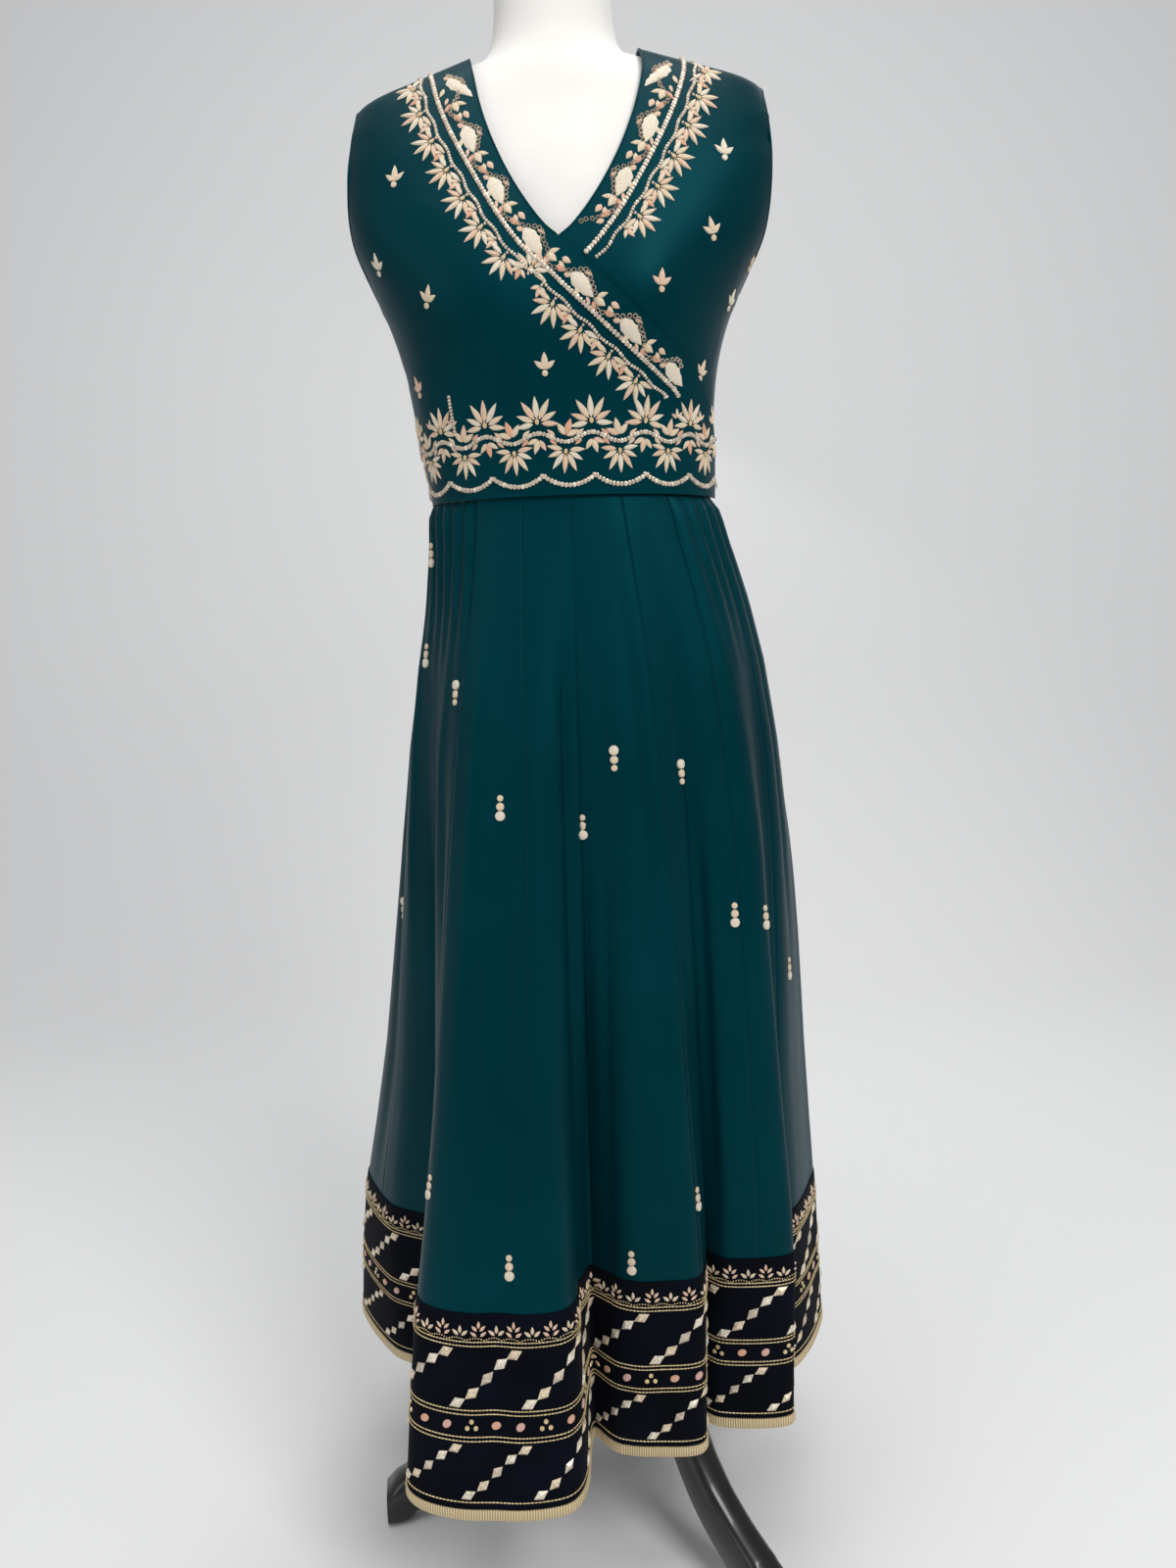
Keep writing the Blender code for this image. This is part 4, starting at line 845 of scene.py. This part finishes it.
def dome(length, width, height=0.0012, sides=8):
    """A bead or padded dot, centred on (0, 0), long along the second axis."""
    turn = np.arange(sides) * 2 * math.pi / sides
    ring = np.stack([np.cos(turn) * width / 2, np.sin(turn) * length / 2, 0 * turn], -1)
    points = np.vstack([ring + (0, 0, -0.0003), ring * 0.86 + (0, 0, 0.62 * height), ((0.0, 0.0, height),)])
    faces = [(k, (k + 1) % sides, sides + (k + 1) % sides, sides + k) for k in range(sides)]
    return points, faces + [(sides + k, sides + (k + 1) % sides, 2 * sides) for k in range(sides)]


def lozenge(length, width, height=0.0016):
    """A cut stone with a low wall, four slopes and a small flat top."""
    rim = np.array(((width / 2, 0, 0), (0, length / 2, 0), (-width / 2, 0, 0), (0, -length / 2, 0)))
    points = np.vstack([rim + (0, 0, -0.0006), rim + (0, 0, 0.0005), rim * 0.40 + (0, 0, height)])
    faces = [(4 * r + k, 4 * r + (k + 1) % 4, 4 * r + 4 + (k + 1) % 4, 4 * r + 4 + k) for r in (0, 1) for k in range(4)]
    return points, faces + [(8, 9, 10, 11)]


class Work:
    """Gathers raised shapes and lays them on a surface."""

    def __init__(self, surface, steps, stretch):
        """stretch is the most that a tight fold may lengthen a shape."""
        self.surface, self.steps, self.stretch = surface, steps, stretch
        self.points, self.anchors, self.frames, self.tints, self.faces = [], [], [], [], []
        self.count = 0

    def put(self, shape, anchor, at=(0.0, 0.0), turn=0.0, tint="cream", basis=None, size=1.0, rise=0.0):
        """turn is clockwise from up, in degrees; basis holds the two directions of the local axes."""
        points, faces = shape
        c, s = math.cos(math.radians(-turn)), math.sin(math.radians(-turn))
        flat = points[:, :2] * size @ np.array(((c, s), (-s, c))) + at
        if basis is not None:
            flat = flat @ np.asarray(basis)
            if basis[0][0] * basis[1][1] - basis[0][1] * basis[1][0] < 0:
                faces = [face[::-1] for face in faces]
        self.points.append(np.hstack([flat, points[:, 2:] * size + rise]))
        self.anchors.append(np.tile(anchor, (len(points), 1)))
        self.tints.append(np.tile(COLOUR[tint], (len(points), 1)))
        self.faces += [tuple(self.count + i for i in face) for face in faces]
        self.count += len(points)

    def make(self, name, made, sharp=50):
        local, anchors = np.vstack(self.points), np.vstack(self.anchors)
        u, v = anchors[:, 0], anchors[:, 1]
        du, dv = self.steps
        _, normal = self.surface(u, v, anchors)
        pu = (self.surface(u + du, v, anchors)[0] - self.surface(u - du, v, anchors)[0]) / (2 * du)
        pv = (self.surface(u, v + dv, anchors)[0] - self.surface(u, v - dv, anchors)[0]) / (2 * dv)
        ea = unit(pu - normal * np.sum(pu * normal, -1, keepdims=True))
        eb = np.cross(normal, ea)
        a, b, c, d = np.sum(pu * ea, -1), np.sum(pv * ea, -1), np.sum(pu * eb, -1), np.sum(pv * eb, -1)
        det = a * d - b * c
        step_u = (d * local[:, 0] - b * local[:, 1]) / det
        step_v = (a * local[:, 1] - c * local[:, 0]) / det
        reach = self.stretch * np.hypot(local[:, 0], local[:, 1])
        most_u = reach / np.median(np.linalg.norm(pu, axis=-1))
        most_v = reach / np.median(np.linalg.norm(pv, axis=-1))
        step_u, step_v = np.clip(step_u, -most_u, most_u), np.clip(step_v, -most_v, most_v)
        base, normal = self.surface(u + step_u, v + step_v, anchors)
        points = base + normal * local[:, 2:] + OFFSET
        return add_mesh(name, points, self.faces, made, tints=np.vstack(self.tints), sharp=sharp)


def body_surface(angle, z, anchors):
    """The bodice's outer face; the layer is that of the shape's anchor."""
    wrapped = (angle + 180.0) % 360.0 - 180.0
    home = (anchors[:, 0] + 180.0) % 360.0 - 180.0
    edge = np.where(anchors[:, 1] < NECK_V_Z, -np.interp(anchors[:, 1], EDGE_Z, EDGE_ANGLE), 0.0)
    over = (home <= edge) & (home > -91.0)
    away = CLOTH + np.where(over, lap_lift(wrapped, z), 0.0) + drags(wrapped, z)
    normal = body_normal(wrapped, z)
    return body_point(wrapped, z) + normal * away[:, None], normal


def skirt_surface(s, t, anchors):
    normal = unit(on_grid(SKIRT_NORMALS, s, t))
    thick = np.where(anchors[:, 1] > z_share(BAND_TOP_Z), VELVET, CLOTH)
    return on_grid(SKIRT_POINTS, s, t) + normal * thick[:, None], normal


bodice_thread = Work(body_surface, (0.5, 0.001), 12.0)
bodice_beads = Work(body_surface, (0.5, 0.001), 12.0)
hem_thread = Work(skirt_surface, (0.0008, 0.004), 1.7)
hem_beads = Work(skirt_surface, (0.0008, 0.004), 1.7)

PETAL, SIDE_PETAL = leaf(0.0180, 0.0052, 0.0017, 0.42), leaf(0.0145, 0.0047, 0.0016, 0.42)
SMALL_LEAF, BUD = leaf(0.0125, 0.0054, 0.0014, 0.42), leaf(0.0125, 0.0078, 0.0017, 0.4)
TINY_LEAF = leaf(0.0076, 0.0034, 0.0012, 0.42, rows=4)
BIG_LEAF = leaf(0.0265, 0.0150, 0.0017, 0.42, rows=18, notches=4)
SEED = dome(0.0052, 0.0036, 0.0020, 8)
ROUND_BEAD, ROPE_BEAD = dome(0.0024, 0.0024, 0.0017, 6), dome(0.0043, 0.0050, 0.0027)
FLAT_BEAD = dome(0.0031, 0.0034, 0.0022)
DOT, VINE_BEAD = dome(0.0050, 0.0050, 0.0016, 10), dome(0.0040, 0.0046, 0.0025)


def ring_bead(outer=0.0023, inner=0.0011, height=0.0014, sides=8):
    """A small ring with an open middle."""
    turn = np.arange(sides) * 2 * math.pi / sides
    circle = np.stack([np.cos(turn), np.sin(turn), 0 * turn], -1)
    sunk = (0, 0, -0.0003)
    points = np.vstack([circle * outer + sunk, circle * (outer + inner) / 2 + (0, 0, height), circle * inner + sunk])
    faces = []
    for k in range(sides):
        m = (k + 1) % sides
        faces += [(k, m, sides + m, sides + k), (sides + k, sides + m, 2 * sides + m, 2 * sides + k)]
    return points, faces


RING_BEAD = ring_bead()


def lotus(work, anchor, basis=None, turn=0.0, size=1.0, at=(0.0, 0.0), blush=0):
    """A fan of long pointed petals over a small golden heart."""
    c, s = math.cos(math.radians(turn)), math.sin(math.radians(turn))

    def spot(x, y):
        return at[0] + (x * c + y * s) * size, at[1] + (-x * s + y * c) * size

    for k, tilt in enumerate((-97, -65, -32, 0, 32, 65, 97)):
        a = math.radians(tilt)
        tint = "blush" if (k + blush) % 4 == 1 else ("pale" if (k + blush) % 3 == 0 else "cream")
        shape = SIDE_PETAL if abs(tilt) > 60 else PETAL
        root = spot(0.0034 * math.sin(a), 0.0052 + 0.0034 * math.cos(a))
        work.put(shape, anchor, root, turn + tilt, tint, basis, size)
    work.put(SEED, anchor, spot(0.0, 0.0064), turn, "gold", basis, size)


def sprig(work, anchor, basis=None, turn=0.0, size=1.0, at=(0.0, 0.0), heart="peach"):
    """Three leaves that fan out from a stem."""
    for k, (tilt, long) in enumerate(((0, 1.0), (-50, 0.85), (50, 0.85))):
        a = math.radians(turn + tilt)
        spot = (at[0] + 0.0010 * math.sin(a), at[1] + 0.0010 * math.cos(a))
        tint = heart if k == 0 else ("cream", "blush")[k % 2 and heart == "cream"]
        work.put(SMALL_LEAF, anchor, spot, turn + tilt, tint, basis, size * long)


def small_sprig(work, anchor, turn=0.0, tint="cream"):
    """Three pointed leaves on a round dot, scattered over the plain bodice."""
    a = math.radians(turn)
    for tilt, size in ((0, 1.15), (-52, 0.92), (52, 0.92)):
        work.put(SMALL_LEAF, anchor, (0.001 * math.sin(a), 0.001), turn + tilt, tint, None, size)
    work.put(DOT, anchor, (-0.0024 * math.sin(a), -0.0024 * math.cos(a)), 0.0, tint, None, 1.15)


def three_dots(work, anchor, top_heavy):
    """Three round dots in a column, each larger than the last."""
    sizes = (2.0, 1.65, 1.30) if top_heavy else (1.30, 1.65, 2.0)
    for size, y in zip(sizes, (0.0086, -0.0002 if top_heavy else 0.0008, -0.0078)):
        work.put(DOT, anchor, (0.0, y), 0.0, "pale" if size > 1.9 else "cream", None, size)


# Borders beside the two front edges

def neck_line(distance, mirror, first, last):
    """(angle, z) down a front at a distance inside the neckline, at every half millimetre or so."""
    angle, z = front_edge(np.linspace(0.965, 0.06, 420))
    edge = np.stack([half_width(z) * np.sin(np.radians(angle)), z], -1)
    along = unit(np.gradient(edge, axis=0))
    spread = ROPE_SPREAD * smooth_step((z - 1.37) / 0.12) * min(distance / ROPE_INNER, 1.0)
    line = edge + np.stack([-along[:, 1], along[:, 0]], -1) * (distance + spread)[:, None]
    line = line[(line[:, 1] < first) & (line[:, 1] > last)]
    travel = np.concatenate([[0.0], np.cumsum(np.linalg.norm(np.diff(line, axis=0), axis=1))])
    wanted = np.arange(0.0, travel[-1], 0.0005)
    x, z = np.interp(wanted, travel, line[:, 0]), np.interp(wanted, travel, line[:, 1])
    return np.stack([mirror * angle_of(x, z), z], -1)


def track(line):
    """Distance along a line of (angle, z) on the body, and the local direction along it."""
    points, normals = body_point(line[:, 0], line[:, 1]), body_normal(line[:, 0], line[:, 1])
    travel = np.concatenate([[0.0], np.cumsum(np.linalg.norm(np.diff(points, axis=0), axis=1))])
    along = unit(np.gradient(points, axis=0))
    pu = body_point(line[:, 0] + 0.5, line[:, 1]) - body_point(line[:, 0] - 0.5, line[:, 1])
    ea = unit(pu - normals * np.sum(pu * normals, -1, keepdims=True))
    heading = unit(np.stack([np.sum(along * ea, -1), np.sum(along * np.cross(normals, ea), -1)], -1))
    return travel, heading


def stations(line, first, step):
    travel, heading = track(line)
    for place in np.arange(first, travel[-1], step):
        i = min(int(np.searchsorted(travel, place)), len(line) - 1)
        yield place, line[i], heading[i]


def rope_of_beads(line, bead, step, tint="silver", wave=0.0, pitch=0.030):
    for n, (place, anchor, way) in enumerate(stations(line, 0.001, step)):
        across = wave * math.sin(2 * math.pi * place / pitch)
        shade = "pale" if n % 5 == 3 else tint
        bodice_beads.put(bead, anchor, (0.0, across), 90, shade, (way, (-way[1], way[0])), 1.0 - 0.08 * (n % 3 == 1))


UNIT, BORDER_IN, LOTUSES_IN = 0.056, 0.0150, 0.0410
# Shapes of one length of the neck's border: shape, along, away from the edge, turn, colour, size
NECK_UNIT = (
    (BIG_LEAF, 0.0040, 0.0004, 84, "pale", 1.08), (BUD, 0.0000, 0.0062, 130, "blush", 0.62),
    (SMALL_LEAF, 0.0150, 0.0080, 52, "cream", 0.78), (SMALL_LEAF, 0.0125, -0.0070, 112, "blush", 0.62),
    (BUD, 0.0325, 0.0030, 96, "cream", 0.92), (SMALL_LEAF, 0.0335, 0.0048, 36, "peach", 0.85),
    (SMALL_LEAF, 0.0335, 0.0008, 148, "cream", 0.80), (BUD, 0.0460, 0.0058, 112, "peach", 0.80),
    (SMALL_LEAF, 0.0455, 0.0000, 66, "cream", 0.78), (BUD, 0.0455, -0.0036, 98, "blush", 0.70),
    (SMALL_LEAF, 0.0265, 0.0068, 60, "blush", 0.62),
)


def neck_border(mirror, first, last, lotuses_from, lotuses_to):
    line = neck_line(BORDER_IN, mirror, first, last)
    travel, heading = track(line)

    def spot(place):
        i = min(int(np.searchsorted(travel, place)), len(line) - 1)
        return line[i], (heading[i], (mirror * -heading[i][1], mirror * heading[i][0]))

    for place in np.arange(0.002, travel[-1], UNIT):
        for shape, along, away, turn, tint, size in NECK_UNIT:
            if place + along + 0.012 < travel[-1]:
                anchor, basis = spot(place + along)
                bodice_thread.put(shape, anchor, (0.0, away), turn, tint, basis, size)
    for place in np.arange(0.001, travel[-1], 0.0037):
        turn = 2 * math.pi * place / UNIT
        across = -0.0004 - 0.0084 * math.cos(turn - 1.9) + 0.0012 * math.sin(3 * turn)
        anchor, basis = spot(place)
        bodice_beads.put(RING_BEAD, anchor, (0.0, across), 0, "silver", basis, 1.05)
    spread = neck_line(LOTUSES_IN, mirror, lotuses_from, lotuses_to)
    for n, (place, anchor, way) in enumerate(stations(spread, 0.010, 0.0160)):
        basis = (way, (mirror * -way[1], mirror * way[0]))
        if n % 2 == 0:
            lotus(bodice_thread, anchor, basis, 8.0, 0.98, (0.0, -0.0015), n)
        else:
            sprig(bodice_thread, anchor, basis, 14.0, 0.80, (0.0, 0.0005), "peach" if n % 4 == 1 else "blush")
        bodice_beads.put(FLAT_BEAD, anchor, (0.0, -0.0005), 0, "silver", basis, 0.8)
        bodice_beads.put(FLAT_BEAD, anchor, (0.0, 0.0022), 0, "silver", basis, 0.7)


neck_border(-1, 1.476, 1.206, 1.474, 1.197)
neck_border(1, 1.476, 1.324, 1.474, 1.312)
for mirror, low in ((-1, OVER_ROPE_END_Z), (1, UNDER_ROPE_END_Z)):
    rope_of_beads(neck_line(ROPE_INNER, mirror, ROPE_START_Z, low), ROPE_BEAD, 0.0035)
    rope_of_beads(neck_line(ROPE_OUTER, mirror, ROPE_START_Z, low - 0.004), FLAT_BEAD, 0.0029, "silver", 0.0010)

# Waist border, all round

RING = np.linspace(0.0, 1.0, 2881)[:-1]
RING_POINTS = WAIST[(RING * HEM_SAMPLES).astype(int) % HEM_SAMPLES]
WAIST_SECTION = body_section(np.array(WAIST_Z))
RING_ANGLE = np.degrees(np.arcsin(np.clip((RING_POINTS[:, 0] - WAIST_SECTION[4]) / WAIST_SECTION[0], -1.0, 1.0)))
RING_ANGLE = np.where(RING_POINTS[:, 1] > 0.0, 180.0 - RING_ANGLE, RING_ANGLE)


def waist_angle(s):
    i = np.asarray(s % 1.0 * len(RING)).astype(int) % len(RING)
    return (RING_ANGLE[i] + 180.0) % 360.0 - 180.0


def waist_line(height, low=0.0, high=1.0):
    s = np.linspace(low, high, int(1900 * (high - low)))
    return np.stack([waist_angle(s), height(s)], -1)


def scallop_height(s):
    return SCALLOP_TOP_Z - SCALLOP_DROP * np.abs(np.sin(np.pi * (s * GORES + 0.5))) ** 0.7


def vine_height(s):
    return VINE_Z + VINE_SWING * np.cos(2 * np.pi * (s * GORES + 0.5))


def at_waist(s, height, up=0.0):
    return float(waist_angle(s)), float(height(np.array(s))) + up


LEAF_GAP = 0.0125
for part in range(GORES):
    low, high = (part - 0.5) / GORES + 0.0007, (part + 0.5) / GORES
    rope_of_beads(waist_line(scallop_height, low, high), ROPE_BEAD, 0.0036)
    rope_of_beads(waist_line(vine_height, low, high), VINE_BEAD, 0.0034)
for k in range(GORES):
    crest, trough = (k + 0.5) / GORES, k / GORES
    dense = k in (2, 3, 4, 11, 12, 13)
    turn, size = (-4.0, 5.0, 0.0)[k % 3], 1.05 if dense else 1.10
    lotus(bodice_thread, at_waist(crest, vine_height, 0.0030), None, turn, size, blush=k)
    lotus(bodice_thread, at_waist(trough, vine_height, -0.0020), None, 180.0 + (6.0, -3.0)[k % 2], 0.98, blush=k + 2)
    lean = (18, -14, 10, -20)[k % 4]
    hearts = ("peach", "cream", "blush")
    sprig(bodice_thread, at_waist(trough, vine_height, 0.0050), None, lean, 1.18, heart=hearts[k % 3])
    sprig(bodice_thread, at_waist(crest, vine_height, -0.0050), None, 180 - lean, 1.02, heart=hearts[(k + 1) % 3])
    for side in (-1, 1):
        upper, lower = trough + side * LEAF_GAP, crest + side * LEAF_GAP
        place, tint = at_waist(upper, vine_height, 0.0022), hearts[(k + side) % 3]
        bodice_thread.put(SMALL_LEAF, place, (0, 0), side * 48, tint, None, 0.72)
        place, tint = at_waist(lower, vine_height, -0.0022), hearts[k % 3]
        bodice_thread.put(SMALL_LEAF, place, (0, 0), 180 - side * 48, tint, None, 0.68)
        if dense:
            sprig(bodice_thread, at_waist(crest + side * 0.0185, vine_height, 0.0180), None, -lean, 0.66, heart="cream")
for angle in (-43.5, 136.0):
    for n in range(12):
        bodice_beads.put(FLAT_BEAD, (angle, 1.160 + 0.0030 * n), (0, 0), 0, "silver", None, 1.0)

# Small sprigs on the bodice: angle and height
SPRIGS = (
    (-46, 1.376), (-63, 1.308), (-43.5, 1.27), (-62, 1.202), (-5.5, 1.208), (46, 1.388), (47.5, 1.322),
    (33.5, 1.274), (82, 1.312), (74, 1.274), (60, 1.208), (118, 1.232), (122, 1.322), (146, 1.268),
    (140, 1.382), (163, 1.215), (158, 1.332), (171, 1.420), (-116, 1.240), (-120, 1.330), (-144, 1.276),
    (-138, 1.386), (-160, 1.222), (-156, 1.336), (-169, 1.418),
)
SPRIG_TURNS = (0.0, 14.0, 22.0, -8.0, 0.0, 4.0, -16.0, 0.0, 10.0)
for n, place in enumerate(SPRIGS):
    small_sprig(bodice_thread, place, SPRIG_TURNS[n % 9], ("cream", "pale", "cream", "blush")[n % 4])
# Columns of dots on the skirt: share round and share down
DOT_COLUMNS = (
    (0.7819, 0.156), (0.8653, 0.194), (0.0306, 0.2625), (0.0847, 0.281), (0.9194, 0.306), (0.0014, 0.331),
    (0.1222, 0.431), (0.1431, 0.4375), (0.2042, 0.519), (0.7819, 0.05), (0.8792, 0.694), (0.0639, 0.725),
    (0.9278, 0.7625), (0.0278, 0.7875), (0.30, 0.20), (0.36, 0.33), (0.43, 0.22), (0.50, 0.35), (0.57, 0.24),
    (0.64, 0.36), (0.70, 0.22), (0.33, 0.52), (0.40, 0.60), (0.47, 0.50), (0.55, 0.62), (0.62, 0.52),
    (0.69, 0.60), (0.74, 0.45), (0.30, 0.72), (0.38, 0.76), (0.46, 0.70), (0.54, 0.77), (0.61, 0.72),
    (0.70, 0.76), (0.25, 0.30), (0.26, 0.63),
)
for n, place in enumerate(DOT_COLUMNS):
    three_dots(hem_thread, place, n in (1, 2, 3, 15, 18, 23, 27, 31, 34))

# Borders on the velvet

BAND_TRAVEL_T = z_share(0.262)
HEM_S = np.linspace(0.0, 1.0, 3001)
hem_run = on_grid(SKIRT_POINTS, HEM_S, np.full(3001, BAND_TRAVEL_T))
HEM_TRAVEL = np.concatenate([[0.0], np.cumsum(np.linalg.norm(np.diff(hem_run, axis=0), axis=1))])
HEM_LENGTH = HEM_TRAVEL[-1]


def hem_spots(step):
    """Shares of the hem at even distances, which close round it."""
    count = max(int(round(HEM_LENGTH / step)), 1)
    return np.interp(np.arange(count) * HEM_LENGTH / count, HEM_TRAVEL, HEM_S)


def gold_line(z, tint="gold"):
    for s in hem_spots(0.0034):
        hem_beads.put(HEM_DASH, (s, z_share(z)), (0, 0), 90, tint)


HEM_DASH = lozenge(0.0046, 0.0013, 0.0010)
STONE, SMALL_STONE = lozenge(0.0172, 0.0098, 0.0022), lozenge(0.0150, 0.0088, 0.0020)
OVAL = dome(0.0096, 0.0074, 0.0018, 12)
GOLD_LINES = (0.3290, 0.3252, 0.2668, 0.2630, 0.2425, 0.2387, 0.1838)
for z in GOLD_LINES:
    gold_line(z)
# Across, up and turn of each leaf, for sprigs of five and of three
HEM_SPRIGS = (
    ((0.0, 0.0090, 0), (-0.0014, 0.0066, -46), (0.0014, 0.0066, 46), (-0.0018, 0.0018, -56), (0.0018, 0.0018, 56)),
    ((0.0, 0.0040, 0), (-0.0016, 0.0022, -50), (0.0016, 0.0022, 50)),
)
for n, s in enumerate(hem_spots(0.0180)):
    tint, size = (("blush", 0.92), ("cream", 1.0))[n % 2]
    for x, y, tilt in HEM_SPRIGS[n % 2]:
        hem_thread.put(TINY_LEAF, (s, z_share(0.3325)), (x, y), tilt, tint, None, size)
for s in hem_spots(0.0026):
    wave = 0.0022 * abs(math.sin(np.interp(s, HEM_S, HEM_TRAVEL) * math.pi / 0.018))
    hem_beads.put(ROUND_BEAD, (s, z_share(0.3304 + wave)), (0, 0), 0, "gold", None, 0.62)
# Chains of stones: foot, top, pitch round the hem, stone
STONES = 5
for low, high, pitch, shape in ((0.2700, 0.3215, 0.068, STONE), (0.1870, 0.2350, 0.064, SMALL_STONE)):
    chains = int(round(HEM_LENGTH / pitch))
    for n in range(chains * STONES):
        f = (n % STONES + 0.5) / STONES
        s = float(np.interp((n + 0.5) / (chains * STONES) * HEM_LENGTH, HEM_TRAVEL, HEM_S))
        z = low + (high - low) * (f - 0.06 * math.sin(2 * math.pi * f))
        climb = (high - low) * (1.0 - 0.38 * math.cos(2 * math.pi * f))
        slope = math.degrees(math.atan2(HEM_LENGTH / chains, climb))
        tint = ("pale", "cream", "silver")[(n + n // STONES) % 3]
        hem_beads.put(shape, (s, z_share(z)), (0.0, 0.0), slope, tint)
for n, s in enumerate(hem_spots(0.0230)):
    anchor = (s, z_share(0.2527))
    if n % 3 == 0:
        for x, y in ((-0.0040, -0.0020), (0.0040, -0.0020), (0.0, 0.0040)):
            hem_beads.put(DOT, anchor, (x, y), 0, "gold", None, 0.95)
    else:
        hem_thread.put(OVAL, anchor, (0.0, 0.0), 90 - 20 * (n % 3), "peach" if n % 3 == 1 else "pink")

bodice_flowers = bodice_thread.make("bodice_flowers", THREAD)
bodice_stones = bodice_beads.make("bodice_beads", BEADS)
skirt_flowers = hem_thread.make("skirt_flowers", THREAD)
hem_stones = hem_beads.make("hem_stones", BEADS, sharp=25)
ROPES = ("rope_over_inner", "rope_over_outer", "rope_under_inner", "rope_under_outer", "rope_scallop", "rope_vine")
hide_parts(*ROPES)

# Studio

def studio():
    wall_y, low_z, far = 1.6, 0.0, []
    for k in range(13):
        a = math.pi / 2 * k / 12
        far.append((wall_y + 0.8 * math.sin(a), low_z + 0.8 * (1 - math.cos(a))))
    line = [(-3.0, low_z)] + far + [(wall_y + 0.8, 5.0)]
    points = [(x, y, z) for y, z in line for x in (-6.0, 6.0)]
    faces = [(2 * i, 2 * i + 1, 2 * i + 3, 2 * i + 2) for i in range(len(line) - 1)]
    mesh = bpy.data.meshes.new("studio_floor")
    mesh.from_pydata(points, [], faces)
    mesh.shade_smooth()
    paper = material("pale_paper", (0.86, 0.86, 0.86), 0.95)
    mesh.materials.append(paper)
    floor = bpy.data.objects.new("studio_floor", mesh)
    bpy.context.scene.collection.objects.link(floor)
    for name, place, aim, size, power in (
        ("key", (1.3, -2.2, 2.7), (0.0, 0.0, 0.9), 1.2, 50.0),
        ("fill", (-2.3, -1.5, 1.6), (0.0, 0.0, 0.8), 1.8, 12.0),
        ("top", (0.0, -0.4, 3.4), (0.0, 0.0, 0.8), 2.0, 34.0),
        ("back", (0.6, 1.9, 2.2), (0.0, 0.0, 1.0), 1.5, 10.0),
    ):
        light = bpy.data.lights.new(name, "AREA")
        light.size, light.energy = size, power
        lamp = bpy.data.objects.new(name, light)
        lamp.location = place
        lamp.rotation_euler = (Vector(aim) - Vector(place)).to_track_quat("-Z", "Y").to_euler()
        bpy.context.scene.collection.objects.link(lamp)
    world = bpy.data.worlds.new("studio_world")
    world.use_nodes = True
    world.node_tree.nodes["Background"].inputs["Color"].default_value = (0.95, 0.97, 1.0, 1.0)
    world.node_tree.nodes["Background"].inputs["Strength"].default_value = 0.30
    bpy.context.scene.world = world


studio()
camera = bpy.data.cameras.new("camera")
camera.lens, camera.sensor_width, camera.sensor_fit = 27.05, 36.0, "AUTO"
eye = bpy.data.objects.new("camera", camera)
eye.matrix_world = (
    Matrix.Translation((0.0127 + OFFSET[0], -1.2 + OFFSET[1], 1.0))
    @ Matrix.Rotation(math.radians(90.0 - 8.6), 4, "X") @ Matrix.Rotation(math.radians(-1.8), 4, "Z")
)
bpy.context.scene.collection.objects.link(eye)
bpy.context.scene.camera = eye
bpy.context.scene.view_settings.view_transform = "Standard"
